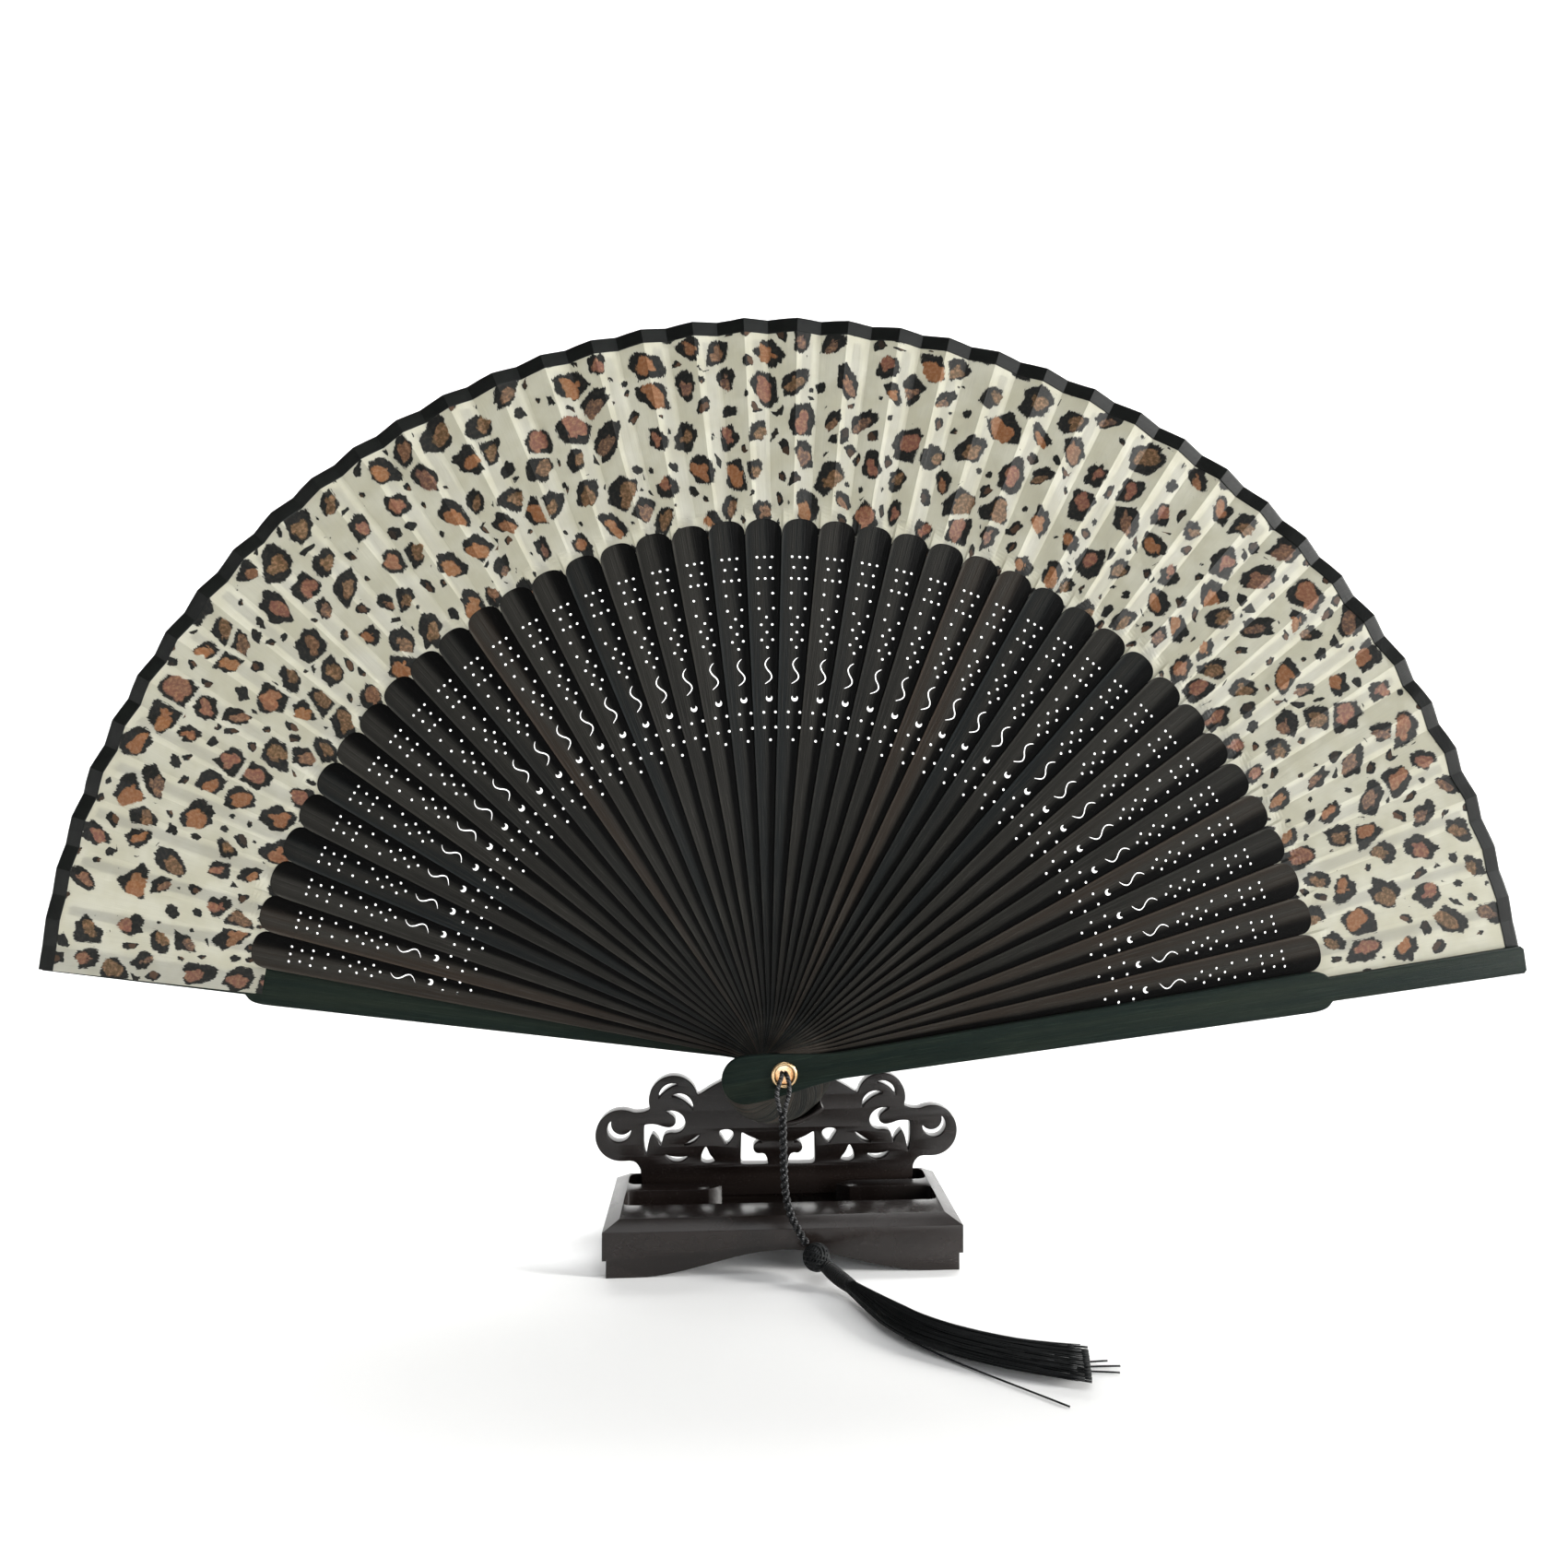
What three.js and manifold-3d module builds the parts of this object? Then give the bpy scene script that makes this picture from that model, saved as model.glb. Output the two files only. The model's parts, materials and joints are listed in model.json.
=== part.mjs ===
// A pleated folding fan of dyed bamboo and printed cloth, open in its carved display stand.
// Millimetres, +Z up. The origin is on the table under the middle of the fan and its stand.
// The fan's front faces -Y. Its pivot axis runs along Y, PIVOT_Z above the table.
import * as THREE from "three";
import { mergeVertices } from "three/addons/utils/BufferGeometryUtils.js";
import Module from "manifold-3d";

const wasm = await Module();
wasm.setup();

// ---------------------------------------------------------------- driving dimensions

const RIB_COUNT = 40;
const STICK_STEP = THREE.MathUtils.degToRad(4); // angle between neighbouring sticks, open
const FIRST_ANGLE = THREE.MathUtils.degToRad(8); // front guard, above the horizontal
const PIVOT_Z = 49;

const RIB_T = 0.5;
const RIB_STEP_Y = 0.55; // one rib and its clearance
const GUARD_T = 1.8;
const GUARD_GAP = 0.35;
const FAN_FRONT_Y = -18.1; // the front guard's outer face

const HEAD_REACH = 15.8; // from the pivot to the round end below it
const HEAD_HALF = 6;
const NECK_X = 15;
const NECK_HALF = 3.3;
const TIP_X = 143;
const TIP_HALF = 5;
const HOLE_R = 2.55; // inside the hole's flats
const HOLE_SIDES = 16;

const SLAT_END = 190.5; // the thin slat that carries the cloth
const SLAT_HALF = 1.3;
const SLAT_T = 0.2;
const SLAT_Y = 0.32; // its middle, behind the rib's front face
const CLOTH_TILT = -0.26; // slope of the cloth and its slat across a rib: deeper to the right

const LEAF_INNER = 144.2;
const LEAF_OUTER = 192;
const LEAF_T = 0.12;
const LEAF_Y = 0.03; // the cloth's front, behind the rib's front face
const FOLD_HALF = THREE.MathUtils.degToRad(0.95); // from a rib's middle to its folds
const RIBBON_INNER = 192.3;
const RIBBON_OUTER = 195.9;
const RIBBON_T = 0.3;

const EYELET_BORE = 2;
const EYELET_R = 2.5;
const FLANGE_R = 3.3;

const BASE_X = 90;
const BASE_Y = 38.5;
const BASE_Z = 13.3;
const GROOVE_FLOOR = 8.3;
const ARCH_Z = 6;
const PLATE_FRONT_Y = 11;
const PLATE_T = 3.6;
const FIT_GAP = 0.05; // between pieces that sit against each other

const CORD_R = 1;
const KNOT = new THREE.Vector3(7.6, -23.8, 6);
const KNOT_R = 3.4;

// ---------------------------------------------------------------- materials

const paint = (color, roughness, metalness = 0) =>
  new THREE.MeshStandardMaterial({ color, roughness, metalness });

const bamboo = () => paint("#24211f", 0.45);
const cloth = () => paint("#dedbc9", 0.6);
const ribbonCloth = () => paint("#20201f", 0.6);
const brass = () => paint("#d8b070", 0.25, 1);
const yarn = () => paint("#15171a", 0.7);
const lacquer = () => paint("#2a2220", 0.25);

// ---------------------------------------------------------------- shape helpers

const toSolid = (geometry) => {
  const bare = geometry.clone();
  bare.deleteAttribute("normal");
  bare.deleteAttribute("uv");
  const merged = mergeVertices(bare, 1e-4);
  return new wasm.Manifold(new wasm.Mesh({
    numProp: 3,
    vertProperties: Float32Array.from(merged.attributes.position.array),
    triVerts: Uint32Array.from(merged.index.array),
  }));
};

const toGeometry = (solid) => {
  const mesh = solid.getMesh();
  const geometry = new THREE.BufferGeometry();
  geometry.setAttribute("position", new THREE.BufferAttribute(mesh.vertProperties, 3));
  geometry.setIndex(new THREE.BufferAttribute(mesh.triVerts, 1));
  geometry.computeVertexNormals();
  return geometry;
};

const indexed = (points, faces) => {
  const geometry = new THREE.BufferGeometry();
  geometry.setAttribute("position", new THREE.Float32BufferAttribute(points.flat(), 3));
  geometry.setIndex(faces.flat());
  geometry.computeVertexNormals();
  return geometry;
};

// A front-view outline (x, z) made solid between the planes y = front and y = back.
const plateOf = (shape, front, back, curveSegments) =>
  new THREE.ExtrudeGeometry(shape, { depth: back - front, bevelEnabled: false, curveSegments })
    .rotateX(Math.PI / 2)
    .translate(0, back, 0);

const blockOf = (x0, x1, y0, y1, z0, z1) =>
  new THREE.BoxGeometry(x1 - x0, y1 - y0, z1 - z0)
    .translate((x0 + x1) / 2, (y0 + y1) / 2, (z0 + z1) / 2);

const flatTop = (shape, z0, z1) =>
  new THREE.ExtrudeGeometry(shape, { depth: z1 - z0, bevelEnabled: false, curveSegments: 5 })
    .translate(0, 0, z0);

const roundHole = () => {
  const corner = HOLE_R / Math.cos(Math.PI / HOLE_SIDES);
  const points = [];
  for (let i = 0; i < HOLE_SIDES; i += 1) {
    const angle = (-2 * Math.PI * i) / HOLE_SIDES;
    points.push(new THREE.Vector2(corner * Math.cos(angle), corner * Math.sin(angle)));
  }
  return new THREE.Path(points);
};

// A soft piece as rings of points round a path: each station is [x, y, z, half width, half height].
const loft = (stations, sides = 10) => {
  const points = [];
  const faces = [];
  const at = stations.map(([x, y, z]) => new THREE.Vector3(x, y, z));
  stations.forEach(([, , , wide, high], i) => {
    const ahead = at[Math.min(i + 1, at.length - 1)].clone().sub(at[Math.max(i - 1, 0)]).normalize();
    const side = new THREE.Vector3(ahead.y, -ahead.x, 0).normalize();
    const over = side.clone().cross(ahead);
    for (let j = 0; j < sides; j += 1) {
      const angle = (2 * Math.PI * j) / sides;
      const p = at[i].clone()
        .addScaledVector(side, wide * Math.cos(angle))
        .addScaledVector(over, high * Math.sin(angle));
      points.push([p.x, p.y, p.z]);
    }
  });
  for (let i = 0; i + 1 < stations.length; i += 1) {
    for (let j = 0; j < sides; j += 1) {
      const a = i * sides + j;
      const b = i * sides + ((j + 1) % sides);
      faces.push([a, b + sides, b], [a, a + sides, b + sides]);
    }
  }
  const last = (stations.length - 1) * sides;
  for (let j = 1; j + 1 < sides; j += 1) {
    faces.push([0, j, j + 1], [last, last + j + 1, last + j]);
  }
  return indexed(points, faces);
};

// ---------------------------------------------------------------- sticks

const addHead = (shape) => {
  const centre = HEAD_HALF - HEAD_REACH;
  shape.bezierCurveTo(NECK_X - 8, NECK_HALF, centre + 8, HEAD_HALF, centre, HEAD_HALF);
  shape.absarc(centre, 0, HEAD_HALF, Math.PI / 2, (3 * Math.PI) / 2, false);
  shape.bezierCurveTo(centre + 8, -HEAD_HALF, NECK_X - 8, -NECK_HALF, NECK_X, -NECK_HALF);
};

const ribOutline = () => {
  const shape = new THREE.Shape();
  shape.moveTo(NECK_X, -NECK_HALF);
  shape.lineTo(TIP_X - 5, -TIP_HALF);
  shape.bezierCurveTo(TIP_X - 1, -TIP_HALF, TIP_X, -0.6 * TIP_HALF, TIP_X, 0);
  shape.bezierCurveTo(TIP_X, 0.6 * TIP_HALF, TIP_X - 1, TIP_HALF, TIP_X - 5, TIP_HALF);
  shape.lineTo(NECK_X, NECK_HALF);
  addHead(shape);
  shape.holes.push(roundHole());
  return shape;
};

const GUARD_HALF = 5.2;
const REACH_HALF = 3.1; // the guard's narrow end, where the cloth starts
const END_HALF = 3.6;
const GUARD_END = 196;

const guardOutline = () => {
  const shape = new THREE.Shape();
  shape.moveTo(NECK_X, -NECK_HALF);
  shape.lineTo(TIP_X - 5, -GUARD_HALF);
  shape.quadraticCurveTo(TIP_X - 0.5, -GUARD_HALF, TIP_X, -REACH_HALF);
  shape.lineTo(GUARD_END - 1, -END_HALF);
  shape.lineTo(GUARD_END, -END_HALF + 1);
  shape.lineTo(GUARD_END, END_HALF - 1);
  shape.lineTo(GUARD_END - 1, END_HALF);
  shape.lineTo(TIP_X, REACH_HALF);
  shape.quadraticCurveTo(TIP_X - 0.5, GUARD_HALF, TIP_X - 5, GUARD_HALF);
  shape.lineTo(NECK_X, NECK_HALF);
  addHead(shape);
  shape.holes.push(roundHole());
  return shape;
};

// The tilt eases to nothing at both guards, so that the closed leaf lies flat against them.
const easeAt = (stick) => Math.min(1, stick / 4, (RIB_COUNT + 1 - stick) / 4);

// The slat leaves the rib's tip in line with it, steps back behind the cloth and tilts with it.
const slatGeometry = (tilt) => {
  const stations = [
    [TIP_X - 0.7, RIB_T / 2, 0], [TIP_X + 0.1, RIB_T / 2, 0],
    [TIP_X + 1.1, SLAT_Y, tilt], [SLAT_END, SLAT_Y, tilt],
  ];
  const points = [];
  for (const [x, y, slope] of stations) {
    for (const [across, depth] of [[-1, -1], [1, -1], [1, 1], [-1, 1]]) {
      const z = across * SLAT_HALF;
      points.push([x, y + slope * z + (depth * SLAT_T) / 2, z]);
    }
  }
  const faces = [[0, 1, 2], [0, 2, 3], [12, 14, 13], [12, 15, 14]];
  for (let i = 0; i + 1 < stations.length; i += 1) {
    for (let j = 0; j < 4; j += 1) {
      const a = 4 * i + j;
      const b = 4 * i + ((j + 1) % 4);
      faces.push([a, a + 4, b], [b, a + 4, b + 4]);
    }
  }
  return indexed(points, faces);
};

const ribGeometry = (ease) => {
  const blade = toSolid(plateOf(ribOutline(), 0, RIB_T, 4));
  return toGeometry(blade.add(toSolid(slatGeometry(CLOTH_TILT * ease))));
};

const ribFront = (stick) =>
  FAN_FRONT_Y + GUARD_T + GUARD_GAP + (stick - 1) * RIB_STEP_Y;
const BACK_GUARD_Y = ribFront(RIB_COUNT) + RIB_T + GUARD_GAP;
const FAN_BACK_Y = BACK_GUARD_Y + GUARD_T;
const stickAngle = (stick) => FIRST_ANGLE + stick * STICK_STEP;

// ---------------------------------------------------------------- leaf

const clothFront = (stick) => {
  if (stick === 0) {
    return FAN_FRONT_Y + GUARD_T + 0.15;
  }
  if (stick === RIB_COUNT + 1) {
    return BACK_GUARD_Y - 0.25;
  }
  return ribFront(stick) + LEAF_Y;
};

// The fold lines from the front guard to the back one, each an angle, a depth at the pivot
// and a slope away from the viewer per millimetre of radius.
const foldLines = () => {
  const folds = [];
  for (let stick = 0; stick <= RIB_COUNT + 1; stick += 1) {
    for (const side of [-1, 1]) {
      folds.push({
        angle: stickAngle(stick) + side * FOLD_HALF,
        depth: clothFront(stick),
        slope: side * Math.sin(FOLD_HALF) * CLOTH_TILT * easeAt(stick),
      });
    }
  }
  return folds;
};

// A closed pleated band between two radii, thick along Y.
const pleatedBand = (inner, outer, before, thickness) => {
  const folds = foldLines();
  const points = [];
  const faces = [];
  for (const { angle, depth, slope } of folds) {
    for (const radius of [inner, outer]) {
      for (const back of [0, thickness]) {
        const y = depth + slope * radius - before + back;
        points.push([radius * Math.cos(angle), y, radius * Math.sin(angle)]);
      }
    }
  }
  // Each fold line has four points: inner front, inner back, outer front, outer back.
  const quad = (a, b, c, d) => faces.push([a, b, c], [a, c, d]);
  for (let i = 0; i + 1 < folds.length; i += 1) {
    const a = 4 * i;
    const b = a + 4;
    quad(a, a + 2, b + 2, b);
    quad(a + 1, b + 1, b + 3, a + 3);
    quad(a, b, b + 1, a + 1);
    quad(a + 2, a + 3, b + 3, b + 2);
  }
  const end = 4 * (folds.length - 1);
  quad(0, 1, 3, 2);
  quad(end, end + 2, end + 3, end + 1);
  return indexed(points, faces);
};

// ---------------------------------------------------------------- pivot

const eyeletGeometry = () => {
  const front = FAN_FRONT_Y;
  const back = FAN_BACK_Y + 0.4;
  const ring = [
    [EYELET_BORE, front + 0.1], [EYELET_BORE + 0.15, front - 0.45], [EYELET_R, front - 0.65],
    [EYELET_R + 0.5, front - 0.6], [FLANGE_R, front - 0.2], [FLANGE_R, front - FIT_GAP],
    [EYELET_R, front - FIT_GAP], [EYELET_R, back], [FLANGE_R - 0.2, back],
    [FLANGE_R - 0.2, back + 0.2], [EYELET_R + 0.2, back + 0.5], [EYELET_BORE + 0.1, back + 0.4],
    [EYELET_BORE, back],
  ];
  const profile = ring.map(([r, y]) => new THREE.Vector2(r, y));
  profile.push(profile[0].clone());
  return new THREE.LatheGeometry(profile, 24);
};

const washerGeometry = () => {
  const y0 = FAN_BACK_Y + FIT_GAP;
  const y1 = FAN_BACK_Y + 0.35;
  const inner = EYELET_R + FIT_GAP;
  const ring = [[inner, y0], [4, y0], [4, y1], [inner, y1], [inner, y0]];
  return new THREE.LatheGeometry(ring.map(([r, y]) => new THREE.Vector2(r, y)), 24);
};

// ---------------------------------------------------------------- cord and tassel

const cordRoute = [
  [0, -15, 48.7], [0, -18.6, 48.5], [-0.2, -20.3, 46.9], [-0.6, -20.7, 43],
  [-0.4, -20.8, 33], [0, -20.9, 22], [1.4, -21.2, 15.5], [3.6, -21.9, 11.2], [5.2, -22.7, 8.75],
].map((p) => new THREE.Vector3(...p));

const cordGeometry = () => {
  const section = new THREE.Shape();
  for (let i = 0; i < 8; i += 1) {
    const angle = (2 * Math.PI * i) / 8;
    const [x, y] = [CORD_R * Math.cos(angle), CORD_R * Math.sin(angle)];
    if (i === 0) {
      section.moveTo(x, y);
    } else {
      section.lineTo(x, y);
    }
  }
  const path = new THREE.CatmullRomCurve3(cordRoute);
  return new THREE.ExtrudeGeometry(section, { steps: 24, extrudePath: path, bevelEnabled: false });
};

const neckGeometry = () =>
  loft([[9.9, -26.2, 4.5, 1.75, 1.75], [12.2, -28.8, 3.4, 1.95, 1.95], [14.6, -31.6, 2.6, 1.75, 1.75]]);

const skirtGeometry = () =>
  loft([
    [14.9, -32, 2.5, 1.7, 1.7], [17, -36, 2.4, 2.8, 2.1], [20.3, -42, 2.4, 4.2, 2.2],
    [25.8, -50.3, 2.3, 5.2, 2.1], [32.8, -56.6, 2.2, 5.9, 2], [43, -62.4, 2.1, 6.4, 1.9],
    [53, -66.2, 2, 6.9, 1.8], [60, -68.2, 1.9, 7.3, 1.7],
  ]);

// ---------------------------------------------------------------- stand

const baseGeometry = () => {
  const side = new THREE.Shape();
  const half = BASE_X / 2;
  const foot = 37; // where each flat foot ends and the arch starts
  side.moveTo(half, BASE_Z);
  side.lineTo(-half, BASE_Z);
  side.lineTo(-half, 4.2);
  side.lineTo(1 - half, 4.2);
  side.lineTo(1 - half, 0);
  const steps = 12;
  for (let i = 0; i <= 2 * steps; i += 1) {
    const t = 1 - Math.abs(i / steps - 1);
    side.lineTo(-foot + (2 * foot * i) / (2 * steps), (ARCH_Z * (1 - Math.cos(Math.PI * t))) / 2);
  }
  side.lineTo(half - 1, 0);
  side.lineTo(half - 1, 4.2);
  side.lineTo(half, 4.2);
  const body = toSolid(plateOf(side, -BASE_Y / 2, BASE_Y / 2, 4));

  // The four slopes round the top, as one wide pyramid stump that the body is kept inside.
  const stump = (z) => {
    const drop = BASE_Z - z;
    return [half - 4 + (4 / 2.2) * drop, BASE_Y / 2 - 3.2 + (3.2 / 2.2) * drop];
  };
  const corners = [-1, BASE_Z].flatMap((z) => {
    const [x, y] = stump(z);
    return [[-x, -y, z], [x, -y, z], [x, y, z], [-x, y, z]];
  });
  const limits = indexed(corners, [
    [0, 2, 1], [0, 3, 2], [4, 5, 6], [4, 6, 7], [0, 1, 5], [0, 5, 4],
    [1, 2, 6], [1, 6, 5], [2, 3, 7], [2, 7, 6], [3, 0, 4], [3, 4, 7],
  ]);

  // Two long grooves that run together in the middle, between pointed ridges.
  const pocket = new THREE.Shape();
  const end = 41;
  const r = 2.5;
  const [frontLow, frontHigh, rearLow, rearHigh] = [-7.5, 2.5, 7.5, 15.6];
  pocket.moveTo(r - end, frontLow);
  for (const s of [1, -1]) {
    const turn = s > 0 ? [frontLow, frontHigh, rearLow, rearHigh] : [rearHigh, rearLow, frontHigh, frontLow];
    for (const [near, far] of [[turn[0], turn[1]], [turn[2], turn[3]]]) {
      pocket.lineTo(s * (end - r), near);
      pocket.quadraticCurveTo(s * end, near, s * end, near + s * r);
      pocket.lineTo(s * end, far - s * r);
      pocket.quadraticCurveTo(s * end, far, s * (end - r), far);
      if (far === turn[1]) {
        pocket.lineTo(s * 19, far);
        pocket.lineTo(s * 15.5, (turn[1] + turn[2]) / 2);
        pocket.lineTo(s * 19, turn[2]);
      }
    }
  }
  let base = body.intersect(toSolid(limits)).subtract(toSolid(flatTop(pocket, GROOVE_FLOOR, BASE_Z + 1)));
  for (const s of [-1, 1]) {
    const [x0, x1] = [s * 28 - 4 - FIT_GAP, s * 28 + 4 + FIT_GAP];
    const slot = blockOf(x0, x1, PLATE_FRONT_Y - FIT_GAP, PLATE_FRONT_Y + PLATE_T + FIT_GAP,
      5.6, GROOVE_FLOOR + 1);
    base = base.subtract(toSolid(slot));
  }
  return toGeometry(base);
};

// Points on the round arc from p to q that swells to its left by the given height.
const arcPoints = (p, q, height, count) => {
  const half = Math.hypot(q[0] - p[0], q[1] - p[1]) / 2;
  const [leftX, leftZ] = [(p[1] - q[1]) / (2 * half), (q[0] - p[0]) / (2 * half)];
  const radius = (half * half + height * height) / (2 * height);
  const cx = (p[0] + q[0]) / 2 + leftX * (height - radius);
  const cz = (p[1] + q[1]) / 2 + leftZ * (height - radius);
  const sweep = -4 * Math.atan(height / half);
  const points = [];
  for (let i = 0; i <= count; i += 1) {
    const turn = (sweep * i) / count;
    const [dx, dz] = [p[0] - cx, p[1] - cz];
    points.push([
      cx + dx * Math.cos(turn) - dz * Math.sin(turn),
      cz + dx * Math.sin(turn) + dz * Math.cos(turn),
    ]);
  }
  return points;
};

// A moon between two points: the outer arc swells by one height and the inner arc by a lesser one.
const crescent = (p, q, outer, inner, count = 7) => [
  ...arcPoints(p, q, outer, count),
  ...arcPoints(p, q, inner, count).reverse().slice(1, -1),
];

// The cut-outs on the plate's right half, as outlines in (x, z). The left half mirrors them.
const plateCuts = () => [
  crescent([45.9, 29.4], [40.4, 26.9], 4.7, 2.6, 10),
  crescent([27.4, 39.1], [33, 35.3], 1.9, 0.8),
  crescent([23.5, 32], [29.5, 36], 2.4, 0.9),
  [
    [31.3, 31.9], [28.6, 32], [26.3, 30.7], [25.5, 28.7], [26, 26.9], [27.7, 25.8], [30, 25.9],
    [31.6, 25.4], [32.2, 22.2], [33.1, 24.4], [34.6, 25.9], [35.6, 24], [36.4, 19.6], [37, 23],
    [36.9, 28.2], [34, 28.4], [31.6, 27.5], [29.6, 27.2], [28.1, 28.3], [28.4, 30], [30, 31.1],
  ],
  crescent([26.3, 22.4], [21.4, 25.5], 0.9, 0.15, 4),
  crescent([31.2, 20], [24.8, 19.4], 1.9, 0.5, 6),
  [
    [14.2, 22.3], [12.9, 23.7], [12.1, 25.3], [13, 26.4], [14.8, 26.6], [16.3, 26.1], [16.1, 25.2],
    [15.3, 24.2],
  ],
  [[19.9, 22.1], [21, 20.1], [21.3, 18.2], [20.3, 17.4], [18.6, 17.4], [17.3, 18], [18.8, 19.6]],
  windowOutline(),
];

// The window beside the middle post, with the post's round knob standing into it.
const windowOutline = () => [
  [2.6, 16.8], [9.3, 16.8], [10, 17.1], [10.3, 17.9],
  ...arcPoints([10.1, 25.8], [4.4, 23.2], 0.25, 4),
  ...arcPoints([4.4, 22.8], [4.4, 19.9], 2.5, 8),
  [3.3, 19.4],
];

const plateGeometry = () => {
  const right = [
    ...arcPoints([0, 43.5], [21.4, 36.6], 1.7, 8),
    ...arcPoints([22.2, 36.2], [35.3, 32.4], 7.4, 11),
    [37.3, 31.7], [39.6, 31.6],
    ...arcPoints([40.6, 32], [42.6, 18.3], 8.7, 13),
    [40.2, 18.4], [38.7, 17.6], [37.6, 15.4], [37.6, GROOVE_FLOOR + FIT_GAP],
    [32, GROOVE_FLOOR + FIT_GAP], [32, 5.7], [24, 5.7], [24, GROOVE_FLOOR + FIT_GAP],
  ];
  const left = right.slice(1).reverse().map(([x, z]) => [-x, z]);
  const outline = (points, s) => new THREE.Shape(points.map(([x, z]) => new THREE.Vector2(s * x, z)));
  const back = PLATE_FRONT_Y + PLATE_T;
  let plate = toSolid(plateOf(outline([...right, ...left], 1), PLATE_FRONT_Y, back, 1));
  for (const cut of plateCuts()) {
    for (const s of [1, -1]) {
      plate = plate.subtract(toSolid(plateOf(outline(cut, s), PLATE_FRONT_Y - 1, back + 1, 1)));
    }
  }
  return toGeometry(plate);
};

// The thin curved ledge that the fan's heads rest on, in front of the plate.
const cradleGeometry = () => {
  const shape = new THREE.Shape();
  const [from, to] = [THREE.MathUtils.degToRad(228), THREE.MathUtils.degToRad(312)];
  shape.absarc(0, PIVOT_Z, HEAD_REACH + 1.5, from, to, false);
  shape.absarc(0, PIVOT_Z, HEAD_REACH + 0.3, to, from, true);
  return plateOf(shape, -4, PLATE_FRONT_Y - FIT_GAP, 8);
};

// ---------------------------------------------------------------- assembly

const fan = new THREE.Group();
const add = (parent, name, geometry, material) => {
  const mesh = new THREE.Mesh(geometry, material);
  mesh.name = name;
  parent.add(mesh);
  return mesh;
};

const pivot = new THREE.Group();
pivot.position.z = PIVOT_Z;
fan.add(pivot);

const placeStick = (name, geometry, material, stick, front) => {
  const mesh = add(pivot, name, geometry, material);
  mesh.position.y = front;
  mesh.rotation.y = -stickAngle(stick);
};

const guard = plateOf(guardOutline(), 0, GUARD_T, 5);
placeStick("front_guard", guard, bamboo(), 0, FAN_FRONT_Y);
placeStick("back_guard", guard, bamboo(), RIB_COUNT + 1, BACK_GUARD_Y);
const ribShapes = new Map();
for (let stick = 1; stick <= RIB_COUNT; stick += 1) {
  const ease = easeAt(stick);
  if (!ribShapes.has(ease)) {
    ribShapes.set(ease, ribGeometry(ease));
  }
  const name = `rib_${String(stick).padStart(2, "0")}`;
  placeStick(name, ribShapes.get(ease), bamboo(), stick, ribFront(stick));
}

add(pivot, "leaf", pleatedBand(LEAF_INNER, LEAF_OUTER, 0, LEAF_T), cloth());
add(pivot, "edge_ribbon", pleatedBand(RIBBON_INNER, RIBBON_OUTER, (RIBBON_T - LEAF_T) / 2, RIBBON_T),
  ribbonCloth());
add(pivot, "pivot_eyelet", eyeletGeometry(), brass());
add(pivot, "pivot_washer", washerGeometry(), brass());

add(fan, "cord", cordGeometry(), yarn());
add(fan, "tassel_knot", new THREE.SphereGeometry(KNOT_R, 14, 9).translate(...KNOT.toArray()), yarn());
add(fan, "tassel_neck", neckGeometry(), yarn());
add(fan, "tassel_skirt", skirtGeometry(), yarn());

add(fan, "stand_base", baseGeometry(), lacquer());
add(fan, "stand_plate", plateGeometry(), lacquer());
add(fan, "stand_cradle", cradleGeometry(), lacquer());

export default fan;
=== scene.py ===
"""Folding hand fan with pierced flat sticks and a pleated leopard cloth leaf, on a lacquered stand."""
import json
import math
import random

import bmesh
import bpy
import numpy as np
from mathutils import Matrix, Vector


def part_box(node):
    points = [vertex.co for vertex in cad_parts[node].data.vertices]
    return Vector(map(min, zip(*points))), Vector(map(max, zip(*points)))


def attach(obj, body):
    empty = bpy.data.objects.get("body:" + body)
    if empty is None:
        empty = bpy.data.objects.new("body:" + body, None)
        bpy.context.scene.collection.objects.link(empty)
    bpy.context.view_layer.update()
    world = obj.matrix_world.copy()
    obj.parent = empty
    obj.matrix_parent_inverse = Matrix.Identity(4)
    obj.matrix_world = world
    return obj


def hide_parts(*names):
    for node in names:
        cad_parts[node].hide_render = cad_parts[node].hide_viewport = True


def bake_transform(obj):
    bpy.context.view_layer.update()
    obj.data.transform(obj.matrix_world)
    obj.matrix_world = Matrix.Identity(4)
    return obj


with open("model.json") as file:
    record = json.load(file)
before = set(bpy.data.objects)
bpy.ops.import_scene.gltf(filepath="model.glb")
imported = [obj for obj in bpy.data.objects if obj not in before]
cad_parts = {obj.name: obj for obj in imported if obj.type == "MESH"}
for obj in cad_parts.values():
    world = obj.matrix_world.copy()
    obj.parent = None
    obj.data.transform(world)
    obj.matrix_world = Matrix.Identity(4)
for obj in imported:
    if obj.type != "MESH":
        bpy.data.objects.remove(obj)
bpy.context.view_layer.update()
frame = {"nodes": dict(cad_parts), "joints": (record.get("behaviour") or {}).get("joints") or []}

MM = 0.001  # sizes below are in millimetres; Blender's are in metres
random.seed(7)

# ------------------------------------------------------------ sizes, in millimetres

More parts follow.
